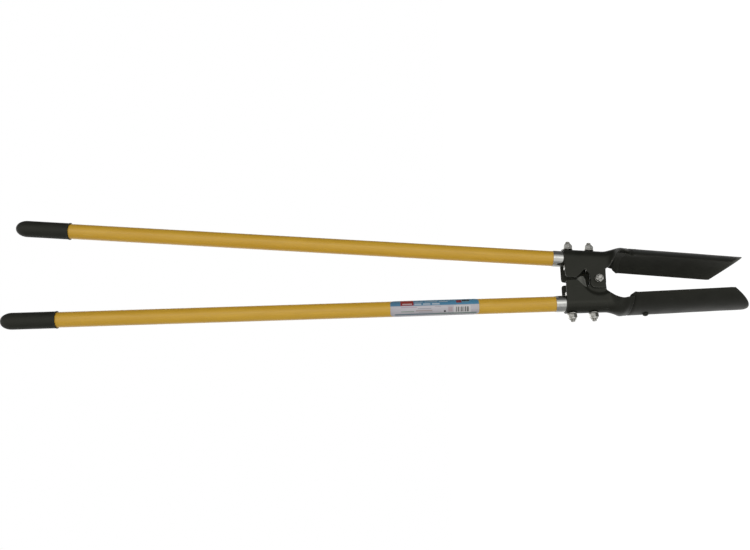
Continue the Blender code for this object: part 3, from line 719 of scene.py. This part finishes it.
def tongue_mesh(rows=60, cols=21):
    """Strip with rounded ends that lies against the blade's hollow side."""
    outer = BLADE_R
    points = []
    for i in range(rows):
        line = []
        for share in across(cols):
            top = TONGUE_TOP + 3.0 * (1 - math.sqrt(max(0.0, 1 - (0.8 * share) ** 2)))
            end = TONGUE_END - 9.0 * (1 - math.sqrt(max(0.0, 1 - (0.97 * share) ** 2)))
            station = top + (end - top) * i / (rows - 1)
            sink = SINK * smooth(station, SINK_FROM + 3.0, SINK_TO + 3.0)
            radius = outer - sink - BLADE_THICK - GAP - SHEET / 2
            line.append(blade_point(station, TONGUE_HALF_ANGLE * share, radius))
        points.append(line)
    return sheet_solid("tongue", points, SHEET, 0.6)


# ===================================================================================== materials
class NodeNet:
    """Short calls for building a node tree. An input takes a socket or a plain value."""

    def __init__(self, owner):
        owner.use_nodes = True
        self.tree = owner.node_tree
        self.tree.nodes.clear()

    def put(self, socket, value):
        if isinstance(value, bpy.types.NodeSocket):
            self.tree.links.new(value, socket)
        elif isinstance(value, (tuple, list)) and len(value) == 3 and socket.type == "RGBA":
            socket.default_value = (*value, 1)
        else:
            socket.default_value = value

    def fill(self, node, **inputs):
        for name, value in inputs.items():
            self.put(node.inputs[name.replace("_", " ")], value)

    def new(self, kind, *values, **inputs):
        """A node with its first inputs set in order and others set by name."""
        node = self.tree.nodes.new("ShaderNode" + kind)
        for socket, value in zip(node.inputs, values):
            self.put(socket, value)
        self.fill(node, **inputs)
        return node

    def texture_coords(self, kind):
        return self.new("TexCoord").outputs[kind]

    def math(self, operation, first, second=0.0):
        node = self.new("Math", first, second)
        node.operation = operation
        return node.outputs[0]

    def add(self, first, second):
        return self.math("ADD", first, second)

    def minus(self, first, second):
        return self.math("SUBTRACT", first, second)

    def times(self, first, second):
        return self.math("MULTIPLY", first, second)

    def ramp(self, value, over, to=(0.0, 1.0), kind="SMOOTHSTEP"):
        """Carries the range `over` to the range `to`, held at both ends."""
        node = self.new(
            "MapRange", Value=value, From_Min=over[0], From_Max=over[1], To_Min=to[0], To_Max=to[1]
        )
        node.interpolation_type = kind
        return node.outputs["Result"]

    def band(self, value, rise, fall, to=(0.0, 1.0)):
        """High between two ramps."""
        return self.times(self.ramp(value, over=rise, to=to), self.ramp(value, over=fall, to=to))

    def split(self, coords):
        return self.new("SeparateXYZ", coords).outputs


class MaterialNet(NodeNet):
    """A material with one Principled shader, textured in the piece's own coordinates (metres)."""

    def __init__(self, name):
        self.material = bpy.data.materials.new(name)
        super().__init__(self.material)
        self.shader = self.new("BsdfPrincipled")
        self.new("OutputMaterial", Surface=self.shader.outputs[0])
        self.coords = self.texture_coords("Object")

    def shade(self, **inputs):
        self.fill(self.shader, **inputs)
        return self.material

    def noise(self, scale, detail, rough, shift=(0, 0, 0), warp=0.0):
        """Noise of `scale` features a metre, one number or one for each axis."""
        scale = scale if isinstance(scale, tuple) else (scale,) * 3
        mapping = self.new("Mapping", Vector=self.coords, Scale=scale, Location=shift)
        node = self.new(
            "TexNoise",
            Vector=mapping.outputs[0],
            Scale=1.0,
            Detail=detail,
            Roughness=rough,
            Distortion=warp,
        )
        return node.outputs["Fac"]

    def mix(self, share, below, above):
        node = self.tree.nodes.new("ShaderNodeMix")
        node.data_type = "RGBA"
        for index, value in ((0, share), (6, below), (7, above)):
            self.put(node.inputs[index], value)
        return node.outputs[2]

    def edge_mm(self):
        """The distance from the sheet's edge that sheet_solid stores."""
        node = self.new("Attribute")
        node.attribute_name = "edge_mm"
        return node.outputs["Fac"]

    def bump(self, height, **inputs):
        return self.new("Bump", Height=height, **inputs).outputs[0]


def yellow_tube():
    """Glass-fibre tube with a satin resin skin: lengthwise lines, cloudy tone, light scuffs."""
    net = MaterialNet("yellow_tube")
    cloud = net.noise(scale=(60, 60, 9), detail=4, rough=0.55)
    fibre = net.noise(scale=(900, 900, 14), detail=3, rough=0.6)
    fine = net.noise(scale=(2600, 2600, 60), detail=2, rough=0.5)
    tone = net.ramp(cloud, over=(0.3, 0.7))
    colour = net.mix(tone, below=(0.795, 0.450, 0.030), above=(0.868, 0.510, 0.042))
    lines = net.ramp(fibre, over=(0.35, 0.75), to=(0.0, 0.45))
    colour = net.mix(lines, colour, above=(0.690, 0.400, 0.028))
    specks = net.noise(scale=(420, 420, 160), detail=2, rough=0.5)
    specks = net.ramp(specks, over=(0.70, 0.78), to=(0.0, 0.35))
    colour = net.mix(specks, colour, above=(0.42, 0.25, 0.04))
    mark_share = net.noise(scale=(130, 130, 24), detail=4, rough=0.6, shift=(0.3, 0.7, 0.1))
    mark_share = net.ramp(mark_share, over=(0.60, 0.74), to=(0.0, 0.30))
    colour = net.mix(mark_share, colour, above=(0.86, 0.58, 0.11))
    rough = net.ramp(fibre, over=(0.2, 0.8), to=(0.30, 0.42))
    height = net.add(net.times(fibre, 0.7), net.times(fine, 0.3))
    return net.shade(
        Base_Color=colour,
        Roughness=net.add(rough, net.times(mark_share, 0.25)),
        IOR=1.46,
        Normal=net.bump(height, Strength=0.35, Distance=0.00012),
        Coat_Weight=0.45,
        Coat_Roughness=0.24,
    )


def grip_rubber():
    """Black vinyl grip: fine pebble, cloudy sheen, a little dust."""
    net = MaterialNet("grip_rubber")
    pebble = net.new("TexVoronoi", Vector=net.coords, Scale=1500)
    pebble.feature = "SMOOTH_F1"
    cloud = net.noise(scale=(70, 70, 30), detail=4, rough=0.55)
    tone = net.ramp(cloud, over=(0.3, 0.7))
    colour = net.mix(tone, below=(0.0140, 0.0150, 0.0105), above=(0.0200, 0.0210, 0.0160))
    dust = net.noise(scale=(1300, 1300, 700), detail=2, rough=0.5)
    dust = net.ramp(dust, over=(0.68, 0.80), to=(0.0, 0.30))
    colour = net.mix(dust, colour, above=(0.10, 0.10, 0.09))
    lines = net.noise(scale=(260, 260, 22), detail=3, rough=0.5)
    pebbled = net.bump(pebble.outputs["Distance"], Strength=0.30, Distance=0.00018)
    return net.shade(
        Base_Color=colour,
        Roughness=net.ramp(cloud, over=(0.25, 0.75), to=(0.50, 0.64)),
        IOR=1.42,
        Specular_Tint=(1.0, 1.0, 0.88),
        Normal=net.bump(lines, Strength=0.25, Distance=0.0002, Normal=pebbled),
    )


def ferrule_steel():
    """Bright plated sleeve, polished round its girth, with hairline scratches and dull spots."""
    net = MaterialNet("ferrule_steel")
    girth = net.noise(scale=(40, 40, 5200), detail=3, rough=0.6)
    along = net.noise(scale=(2600, 2600, 40), detail=2, rough=0.5)
    dull = net.ramp(net.noise(scale=160, detail=4, rough=0.6), over=(0.48, 0.72))
    colour = net.mix(dull, below=(0.68, 0.68, 0.645), above=(0.55, 0.555, 0.525))
    off_middle = net.math("ABSOLUTE", net.minus(along, 0.5))
    scratched = net.ramp(off_middle, over=(0.18, 0.3), to=(0.0, 0.08))
    polished = net.bump(girth, Strength=0.14, Distance=0.00004)
    return net.shade(
        Base_Color=colour,
        Metallic=1.0,
        Roughness=net.add(net.ramp(dull, over=(0, 1), to=(0.07, 0.15)), scratched),
        Normal=net.bump(along, Strength=0.10, Distance=0.00003, Normal=polished),
    )


def hollow_side(net, y, z, blade):
    """1 where the surface faces the inside of the head or blade."""
    centre = BLADE_CENTRE - 11.0 if blade else HANDLE_OFFSET
    outward = net.new("CombineXYZ", 0.0, net.minus(y, centre * MM), z).outputs[0]
    facing = net.new("VectorMath", net.texture_coords("Normal"), outward)
    facing.operation = "DOT_PRODUCT"
    over = (0.010, -0.010) if blade else (0.002, -0.004)
    return net.ramp(facing.outputs["Value"], over=over)


def notch_painted_light(net, colour, x, y, z, hollow):
    """Painted light: a grey patch on the far cheek's outer face beside its notch."""
    cut = net.minus(net.add(x, 0.0470), y)
    ragged = net.noise(scale=520, detail=3, rough=0.6, shift=(2.0, 5.0, 1.0))
    cut = net.add(cut, net.times(net.minus(ragged, 0.5), 0.0016))
    mark_share = net.ramp(cut, over=(0.0002, 0.0013))
    for value, over in ((y, (0.0178, 0.0168)), (x, (-0.0232, -0.0246)), (z, (-0.010, -0.014))):
        mark_share = net.times(mark_share, net.ramp(value, over=over))
    mark_share = net.times(mark_share, net.minus(1.0, hollow))
    patchy = net.ramp(ragged, over=(0.32, 0.62))
    # painted light: patchy grey in place of the light seen beside the notch
    painted_light_grey = net.mix(patchy, below=(0.078, 0.079, 0.069), above=(0.150, 0.151, 0.136))
    return net.mix(mark_share, colour, painted_light_grey)


def scratches(net, seed):
    """Hairline scratches in two directions, in some places only."""
    one = net.noise(scale=(30, 900, 900), detail=2, rough=0.4, shift=(seed, 3.1, 1.7), warp=0.6)
    two = net.noise(scale=(700, 60, 700), detail=2, rough=0.4, shift=(1.3, seed, 4.4), warp=0.8)
    where = net.noise(scale=22, detail=3, rough=0.5, shift=(0.9, 1.9, seed))
    one, two = net.ramp(one, over=(0.735, 0.765)), net.ramp(two, over=(0.745, 0.775))
    return net.times(net.math("MAXIMUM", one, two), net.ramp(where, over=(0.50, 0.62)))


def paint(name, base, other, rough, seed, blade=False):
    """Black paint over pressed steel: orange peel, cloudy sheen, dust, hairline scratches, and
    metal that shows through in small worn places along the edges."""
    net = MaterialNet(name)
    cloud = net.noise(scale=38, detail=4, rough=0.55, shift=(seed, 0.2, 0.4))
    peel = net.noise(scale=620, detail=2, rough=0.45)
    grit = net.noise(scale=2600, detail=2, rough=0.6)
    colour = net.mix(net.ramp(cloud, over=(0.3, 0.7)), base, other)
    # the hollow side is duller, and painted lighter to stand in for the light that reaches inside it
    x, y, z = net.split(net.coords)
    hollow = hollow_side(net, y, z, blade)
    tone = net.ramp(cloud, over=(0.3, 0.7))
    hollow_painted_light = net.mix(tone, below=(0.035, 0.036, 0.029), above=(0.044, 0.045, 0.037))
    colour = net.mix(hollow, colour, hollow_painted_light)
    # painted light: a grey patch on the far cheek beside its notch
    if not blade:
        colour = notch_painted_light(net, colour, x, y, z, hollow)
    dust = net.ramp(grit, over=(0.70, 0.82), to=(0.0, 0.35))
    colour = net.mix(dust, colour, above=(0.12, 0.12, 0.11))
    scratch = scratches(net, seed)
    colour = net.mix(net.times(scratch, 0.55), colour, above=(0.16, 0.16, 0.15))
    # bare metal and a lighter rub near the edges
    edge = net.edge_mm()
    patch = net.noise(scale=330, detail=4, rough=0.65, shift=(seed, seed, 0))
    reach = net.ramp(patch, over=(0.44, 0.82), to=(-0.9, 1.5), kind="LINEAR")
    bare = net.ramp(net.minus(reach, edge), over=(0.0, 0.45))
    bare = net.times(bare, net.ramp(patch, over=(0.50, 0.60)))
    rub = net.ramp(edge, over=(0.0, 1.4), to=(0.10 if blade else 0.22, 0.0))
    if blade:
        # only towards the cutting end
        bare = net.times(bare, net.ramp(net.split(net.coords)[0], over=(0.262, 0.290)))
    colour = net.mix(rub, colour, above=(0.075, 0.075, 0.07))
    colour = net.mix(net.times(bare, 0.85), colour, above=(0.22, 0.205, 0.18))
    roughness = net.ramp(cloud, over=(0.25, 0.75), to=rough)
    roughness = net.add(roughness, net.times(dust, 0.3))
    worn = net.math("MAXIMUM", bare, net.times(scratch, 0.5))
    height = net.add(net.times(peel, 0.8), net.times(grit, 0.12))
    height = net.minus(height, net.times(worn, 0.8))
    net.shade(
        Base_Color=colour,
        Roughness=net.math("MAXIMUM", roughness, net.times(hollow, 0.62)),
        IOR=1.42,
        Specular_Tint=(1.0, 1.0, 0.86),
        Metallic=net.times(bare, 0.8),
        Normal=net.bump(height, Strength=0.42, Distance=0.00022),
    )
    return net, colour


def black_paint():
    net, _ = paint(
        "black_paint",
        base=(0.0112, 0.0120, 0.0090),
        other=(0.0152, 0.0160, 0.0126),
        rough=(0.28, 0.40),
        seed=0.0,
    )
    return net.material


def blade_paint():
    """The same paint on the blades, with a scuffed, partly bare band at the cutting end."""
    net, colour = paint(
        "blade_paint",
        base=(0.0104, 0.0109, 0.0082),
        other=(0.0150, 0.0157, 0.0124),
        rough=(0.42, 0.54),
        seed=2.7,
        blade=True,
    )
    x = net.split(net.coords)[0]
    ragged = net.noise(scale=(110, 420, 420), detail=4, rough=0.65)
    worn = net.ramp(net.add(x, net.times(ragged, 0.020)), over=(0.3075, 0.3130))
    colour = net.mix(net.times(worn, 0.55), colour, above=(0.20, 0.18, 0.14))
    return net.shade(Base_Color=colour)


def zinc_plate():
    """Zinc-plated steel: soft lustre, small dull and yellowed patches."""
    net = MaterialNet("zinc_plate")
    cloud = net.noise(scale=300, detail=4, rough=0.6)
    grain = net.noise(scale=2400, detail=2, rough=0.6)
    tone = net.ramp(cloud, over=(0.35, 0.70))
    colour = net.mix(tone, below=(0.66, 0.655, 0.62), above=(0.38, 0.37, 0.33))
    stain = net.noise(scale=190, detail=3, rough=0.6, shift=(3, 1, 2))
    stain = net.ramp(stain, over=(0.60, 0.72), to=(0.0, 0.5))
    return net.shade(
        Base_Color=net.mix(stain, colour, above=(0.26, 0.23, 0.16)),
        Metallic=1.0,
        Roughness=net.ramp(cloud, over=(0.3, 0.7), to=(0.16, 0.34)),
        Normal=net.bump(grain, Strength=0.22, Distance=0.00006),
    )


def nylon():
    net = MaterialNet("nylon_insert")
    cloud = net.noise(scale=700, detail=3, rough=0.5)
    return net.shade(
        Base_Color=net.mix(cloud, below=(0.62, 0.62, 0.57), above=(0.76, 0.76, 0.71)),
        Roughness=net.ramp(cloud, over=(0.3, 0.7), to=(0.42, 0.6)),
        Normal=net.bump(cloud, Strength=0.15, Distance=0.0001),
    )


def core_wood():
    """Turned softwood plug: growth rings across, grain lines along."""
    net = MaterialNet("core_wood")
    x, y, _ = net.split(net.coords)
    warp = net.noise(scale=(120, 120, 12), detail=3, rough=0.5)
    slant = net.times(net.add(x, net.times(y, 0.25)), 420)  # rings a metre
    rings = net.math("FRACT", net.add(slant, net.times(warp, 2.2)))
    grain = net.noise(scale=(1500, 1500, 40), detail=3, rough=0.6)
    tone = net.ramp(rings, over=(0.1, 0.95))
    colour = net.mix(tone, below=(0.46, 0.33, 0.18), above=(0.30, 0.19, 0.09))
    lines = net.ramp(grain, over=(0.5, 0.8), to=(0.0, 0.4))
    return net.shade(
        Base_Color=net.mix(lines, colour, above=(0.20, 0.12, 0.06)),
        Roughness=0.75,
        Normal=net.bump(grain, Strength=0.4, Distance=0.0003),
    )


# Printed boxes, later over earlier: u from, to (share of the label down from its upper end);
# v from, to (degrees round the tube from its middle); strength; tint
BAR_BLUE = (0.60, 0.68, 0.74)
LABEL_PRINTS = [
    # pale rule beside the blue band, then a red panel with a pale bar
    (0.03, 0.97, 11.0, 14.0, 0.8, (0.62, 0.60, 0.62)),
    (0.115, 0.262, 17.0, 78, 1, (0.36, 0.030, 0.032)),
    (0.135, 0.245, 23, 34, 0.75, (0.66, 0.58, 0.58)),
    # pale bars on the blue
    (0.272, 0.350, 20, 33, 0.80, BAR_BLUE),
    (0.368, 0.452, 20, 33, 0.80, BAR_BLUE),
    (0.470, 0.556, 20, 33, 0.85, BAR_BLUE),
    (0.272, 0.37, 42, 49, 0.60, BAR_BLUE),
    (0.39, 0.53, 42, 49, 0.60, BAR_BLUE),
    (0.55, 0.65, 42, 49, 0.70, BAR_BLUE),
    # small blocks towards the lower end
    (0.745, 0.805, 30, 58, 1, (0.26, 0.045, 0.06)),
    (0.812, 0.895, 44, 62, 1, (0.012, 0.016, 0.022)),
    (0.812, 0.885, 32, 41, 0.6, (0.20, 0.33, 0.30)),
    # faint lines on the grey body
    (0.12, 0.30, 2, 7, 0.62, (0.42, 0.20, 0.36)),
    (0.31, 0.46, -9, -4, 0.62, (0.24, 0.24, 0.30)),
    (0.12, 0.265, -30, -23, 0.62, (0.16, 0.29, 0.18)),
    (0.285, 0.47, -26, -18, 0.62, (0.36, 0.24, 0.20)),
    (0.32, 0.48, -37, -33, 0.62, (0.26, 0.26, 0.31)),
    (0.50, 0.57, 3, 7, 0.62, (0.33, 0.31, 0.36)),
    (0.65, 0.70, -34, 0, 0.62, (0.46, 0.33, 0.35)),
    # a small dark square between pale ones
    (0.585 - 0.010, 0.585 + 0.010, -37, -24, 1, (0.60, 0.59, 0.61)),
    (0.612 - 0.010, 0.612 + 0.010, -37, -24, 1, (0.008, 0.008, 0.010)),
    (0.640 - 0.010, 0.640 + 0.010, -37, -24, 1, (0.62, 0.61, 0.63)),
    # white panel
    (0.715, 0.905, -50, 8, 1, (0.74, 0.72, 0.72)),
]
# u from, to of the dark bars on the white panel
PANEL_BARS = [
    (0.737, 0.747), (0.757, 0.770), (0.780, 0.786), (0.796, 0.811),
    (0.822, 0.829), (0.838, 0.852), (0.861, 0.880),
]


def label_film():
    """Printed wrap: a blue band, a red panel, plain bars and lines, no lettering."""
    net = MaterialNet("label_film")
    x, y, z = net.split(net.coords)
    turn = net.minus(net.math("ARCTAN2", net.times(x, -1), y), LABEL_TURN)
    v = net.times(turn, 180 / math.pi)
    u = net.math("DIVIDE", net.minus(LABEL_TO * MM, z), (LABEL_TO - LABEL_FROM) * MM)

    def stamp(colour, u0, u1, v0, v1, strength, tint, soft=0.0025, soft_v=1.2):
        along = net.band(u, rise=(u0 - soft, u0 + soft), fall=(u1 + soft, u1 - soft))
        round_tube = net.band(v, rise=(v0 - soft_v, v0 + soft_v), fall=(v1 + soft_v, v1 - soft_v))
        share = net.times(along, round_tube)
        if strength < 1:
            share = net.times(share, strength)
        return net.mix(share, colour, tint)

    cloud = net.noise(scale=(120, 120, 25), detail=3, rough=0.5)
    tone = net.ramp(cloud, over=(0.3, 0.7))
    body = net.mix(tone, below=(0.60, 0.57, 0.61), above=(0.68, 0.65, 0.685))
    shaded = net.ramp(v, over=(5, -60), to=(0.0, 0.55))
    body = net.mix(shaded, body, above=(0.46, 0.45, 0.47))
    down = net.ramp(u, over=(0.0, 1.0))
    blue = net.mix(down, below=(0.098, 0.255, 0.415), above=(0.088, 0.300, 0.490))
    colour = net.mix(net.ramp(v, over=(14.0, 15.8)), body, blue)
    for row in LABEL_PRINTS:
        colour = stamp(colour, *row)
    for u0, u1 in PANEL_BARS:
        colour = stamp(colour, u0, u1, -38, -1, 0.85, (0.055, 0.065, 0.055), soft=0.0015)
    # teal rule along the side away from the blue band
    down = net.ramp(u, over=(0.35, 0.6))
    teal = net.mix(down, below=(0.075, 0.16, 0.21), above=(0.12, 0.20, 0.17))
    colour = stamp(colour, 0.05, 0.97, -57, -44, 0.80, teal, soft=0.01)
    mark_share = net.ramp(net.edge_mm(), over=(0.2, 1.4), to=(0.35, 0.0))
    colour = net.mix(mark_share, colour, above=(0.42, 0.41, 0.42))
    wrinkle = net.noise(scale=(220, 220, 60), detail=4, rough=0.6)
    return net.shade(
        Base_Color=colour,
        Roughness=net.ramp(wrinkle, over=(0.3, 0.7), to=(0.30, 0.42)),
        IOR=1.45,
        Normal=net.bump(wrinkle, Strength=0.25, Distance=0.00015),
        Coat_Weight=0.3,
        Coat_Roughness=0.2,
    )


MATERIALS = {
    "yellow_tube": yellow_tube(),
    "core_plug": core_wood(),
    "ferrule_steel": ferrule_steel(),
    "grip_rubber": grip_rubber(),
    "black_paint": black_paint(),
    "blade_paint": blade_paint(),
    "zinc_plate": zinc_plate(),
    "nylon": nylon(),
    "label_film": label_film(),
}


# ======================================================================================== pieces
def add_object(name, data):
    made = bpy.data.objects.new(name, data)
    bpy.context.scene.collection.objects.link(made)
    return made


def holed(mesh, name, *holes):
    """The mesh with round holes cut through it. A hole is (radius, reach each way, matrix)."""
    piece = add_object(name, mesh)
    tools = []
    for radius, reach, matrix in holes:
        profile = [(0, -reach), (radius, -reach), (radius, reach), (0, reach)]
        made = add_object("tool", turned("tool", profile, 48))
        made.matrix_world = matrix
        boolean = piece.modifiers.new("hole", "BOOLEAN")
        boolean.operation = "DIFFERENCE"
        boolean.object = made
        boolean.solver = "EXACT"
        tools.append(made)
    bpy.context.view_layer.update()
    evaluated = piece.evaluated_get(bpy.context.evaluated_depsgraph_get())
    result = bpy.data.meshes.new_from_object(evaluated)
    result.name = name
    for made in [piece] + tools:
        old = made.data
        bpy.data.objects.remove(made)
        if old.users == 0:
            bpy.data.meshes.remove(old)
    result.set_sharp_from_angle(angle=math.radians(40))
    return result


def place(node, mesh, matrix):
    """A visible piece for one CAD node: rides its body and takes its material slot."""
    piece = add_object(node + "_fine", mesh)
    piece.matrix_world = matrix
    slot = SLOT_OF[node]
    if not mesh.materials:
        mesh.materials.append(MATERIALS[slot])
    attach(piece, BODY_OF[node])
    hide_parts(node)


on_handle = millimetres(frame_at(FOOT, -OUTWARD, ARM_Z, ALONG))
on_label = millimetres(frame_at(FOOT, OUTWARD, -ARM_Z, ALONG))
bolt_frames = [on_bolt(station, 0) for station in SOCKET_BOLTS.values()]
bolt_bore = BOLT_R + HOLE_GAP
socket_cuts = [(bolt_bore, 40, on_handle.inverted() @ at) for at in bolt_frames]
head_cuts = [(bolt_bore, 40, at) for at in bolt_frames]
head_cuts.append((PIVOT_R + HOLE_GAP, 40, Matrix.Identity(4)))

tube_profile = ring(TUBE_BORE_R, TUBE_R, TUBE_FOOT, TUBE_TOP, 0.4)
tube = holed(turned("tube", tube_profile), "handle_tube", *socket_cuts)
core = holed(core_mesh(), "handle_core", *socket_cuts)
ferrule = holed(ferrule_mesh(), "ferrule", *socket_cuts)
grip = grip_mesh()
head = holed(head_mesh(), "head", *head_cuts)
bolt_length = BOLT_END + FERRULE_R + GAP
socket_bolt = bolt_mesh("socket_bolt", BOLT_FLATS, BOLT_HEAD_HEIGHT, BOLT_R, bolt_length, 26)
socket_nut_sizes = (BOLT_FLATS, NUT_HEX_HEIGHT, NUT_HEIGHT, bolt_bore)
socket_nut = nut_mesh("socket_nut", *socket_nut_sizes)
socket_nylon = nylon_mesh("socket_nylon", *socket_nut_sizes)
socket_washer = washer_mesh("socket_washer", bolt_bore + 0.2, WASHER_R, WASHER_THICK)
rivet = rivet_mesh()


def place_arm(side):
    arm = ARM[side]
    lean_x, lean_y = math.cos(BLADE_LEAN), math.sin(BLADE_LEAN)
    rivet_foot = blade_point(RIVET_AT[side], 0.0, BLADE_R)
    down_blade, out = Vector((lean_x, -lean_y, 0)), Vector((lean_y, lean_x, 0))
    on_blade = millimetres(frame_at(rivet_foot, down_blade, -ARM_Z, out))
    rivet_cut = (RIVET_R + HOLE_GAP, 20, on_blade)
    place(f"{side}_handle_tube", tube, arm @ on_handle)
    place(f"{side}_handle_core", core, arm @ on_handle)
    place(f"{side}_ferrule", ferrule, arm @ on_handle)
    place(f"{side}_grip", grip, arm @ on_handle)
    place(f"{side}_head", head, arm)
    blade = holed(blade_mesh(WAVE_SEED[side]), f"{side}_blade_mesh", rivet_cut)
    place(f"{side}_blade", blade, arm)
    tongue = holed(tongue_mesh(), f"{side}_tongue_mesh", rivet_cut)
    place(f"{side}_blade_tongue", tongue, arm)
    place(f"{side}_blade_rivet", rivet, arm @ on_blade)
    for which, station in SOCKET_BOLTS.items():
        name = f"{side}_{which}_socket"
        place(name + "_bolt", socket_bolt, arm @ on_bolt(station, -FERRULE_R - GAP))
        place(name + "_washer", socket_washer, arm @ on_bolt(station, HEAD_FACE + GAP))
        nut_at = arm @ on_bolt(station, HEAD_FACE + GAP + WASHER_THICK + SEAT_GAP)
        place(name + "_nut", socket_nut, nut_at)
        place(name + "_nut_insert", socket_nylon, nut_at)


def on_pivot(height):
    return ROOT @ Matrix.Translation((0, 0, height * MM))


def place_pivot():
    """The bolt through both heads; its head is on the -Z side and its nut on the +Z side."""
    bore = PIVOT_R + HOLE_GAP
    washer_at = HEAD_FACE + SEAT_GAP
    nut_at = washer_at + PIVOT_WASHER_THICK + SEAT_GAP
    length = nut_at + nut_at + PIVOT_NUT_HEIGHT + PIVOT_END_PAST_NUT
    bolt = bolt_mesh("pivot_bolt", PIVOT_FLATS, PIVOT_HEAD_HEIGHT, PIVOT_R, length, 22)
    place("pivot_bolt", bolt, on_pivot(-nut_at))
    washer = washer_mesh("pivot_washer", bore + 0.1, PIVOT_WASHER_R, PIVOT_WASHER_THICK)
    place("pivot_back_washer", washer, on_pivot(-washer_at - PIVOT_WASHER_THICK))
    place("pivot_front_washer", washer, on_pivot(washer_at))
    sizes = (PIVOT_FLATS, PIVOT_NUT_HEX_HEIGHT, PIVOT_NUT_HEIGHT, bore)
    place("pivot_nut", nut_mesh("pivot_nut", *sizes), on_pivot(nut_at))
    place("pivot_nut_insert", nylon_mesh("pivot_nylon", *sizes), on_pivot(nut_at))
    half = HEAD_HALF - SHEET / 2 - JOGGLE - 0.3
    spacer = turned("pivot_spacer", ring(bore, SPACER_R, -half, half, 0.5), RING_POINTS)
    place("pivot_spacer", spacer, ROOT)


place_arm("right")
place_arm("left")
place("handle_label", label_mesh(), ARM["left"] @ on_label)
place_pivot()


# ========================================================================================= stage
def studio_world():
    """White to the camera. To the object it is a soft studio: a broad diffuser round the camera,
    darker sides, and pale paper behind."""
    world = bpy.data.worlds.new("studio")
    bpy.context.scene.world = world
    net = NodeNet(world)
    x, y, z = net.split(net.texture_coords("Generated"))
    back, down = net.times(y, -1), net.times(z, -1)
    # degrees round the tool's long axis: 0 towards the camera side, positive towards world +X
    turn = net.times(net.math("ARCTAN2", x, back), 180 / math.pi)
    away = net.math("ABSOLUTE", turn)
    # the diffuser, stronger in its core and weaker towards the tool's two ends
    diffuser = net.times(net.band(turn, rise=(-68, -34), fall=(54, 22)), 0.62)
    core_glow = net.times(net.band(turn, rise=(-18, -3), fall=(22, 6)), 0.72)
    length = net.band(down, rise=(-0.92, -0.60), fall=(0.88, 0.60), to=(0.15, 1))
    front = net.times(net.add(diffuser, core_glow), length)
    # pale paper behind the tool, over a dim surround
    paper = net.ramp(turn, over=(-30, 30), to=(0.66, 1.60))
    behind = net.times(net.ramp(away, over=(112, 156)), paper)
    rest = net.add(behind, net.ramp(turn, over=(30, -70), to=(0.14, 0.38)))
    # a little more light from straight above and below
    ends = net.times(net.ramp(net.math("ABSOLUTE", down), over=(0.55, 0.95)), 0.30)
    level = net.add(net.add(rest, front), ends)
    soft = net.new("Background", Strength=level)
    white = net.new("Background", Color=(1, 1, 1), Strength=1.0)
    seen = net.new("LightPath").outputs["Is Camera Ray"]
    mixed = net.new("MixShader", seen, soft.outputs[0], white.outputs[0])
    net.new("OutputWorld", Surface=mixed.outputs[0])


def pale_floor(size=6.0, parts=12, height=-0.0004):
    """A plain sheet under the blade tips, evenly lit so that the camera sees it nearly white."""
    steps = [size * (2 * i / parts - 1) for i in range(parts + 1)]
    points = [(x, y, height) for x in steps for y in steps]
    row = parts + 1
    corners = [i * row + j for i in range(parts) for j in range(parts)]
    faces = [(k, k + row, k + row + 1, k + 1) for k in corners]
    mesh = bpy.data.meshes.new("floor")
    mesh.from_pydata(points, [], faces)
    floor = add_object("floor", mesh)
    paper = bpy.data.materials.new("floor_paper")
    net = NodeNet(paper)
    glow = net.new("Emission", Strength=1.0)
    flat = net.new("BsdfDiffuse", Color=(0.10, 0.10, 0.10))
    both = net.new("AddShader", glow.outputs[0], flat.outputs[0])
    net.new("OutputMaterial", Surface=both.outputs[0])
    mesh.materials.append(paper)
    # the studio's light reaches the tool from below as well
    floor.visible_diffuse = False
    floor.visible_glossy = False
    floor.visible_shadow = False


def studio_camera():
    """The tool lies across the frame, blades to the right."""
    roll, yaw, pitch = -0.0130, 0.002, -0.3272  # radians about arm Z, Y and X
    position = Vector((-0.50497, -1.51237, PIVOT.z + 0.46154))
    turn = Matrix.Rotation(roll, 3, "Z") @ Matrix.Rotation(yaw, 3, "Y")
    turn = turn @ Matrix.Rotation(pitch, 3, "X")
    # rows are the camera's right, up and back in the arm frame, carried to world axes
    axes = [Vector((y, -z, -x)) for x, y, z in turn]
    data = bpy.data.cameras.new("camera")
    data.sensor_fit = "HORIZONTAL"
    data.sensor_width = 36.0
    data.lens = 36.92
    data.clip_start = 0.05
    data.clip_end = 60
    camera = add_object("camera", data)
    camera.matrix_world = frame_at(position, *axes)
    bpy.context.scene.camera = camera


studio_world()
pale_floor()
studio_camera()
bpy.context.scene.view_settings.view_transform = "Standard"
bpy.context.scene.view_settings.look = "None"

bpy.context.view_layer.update()
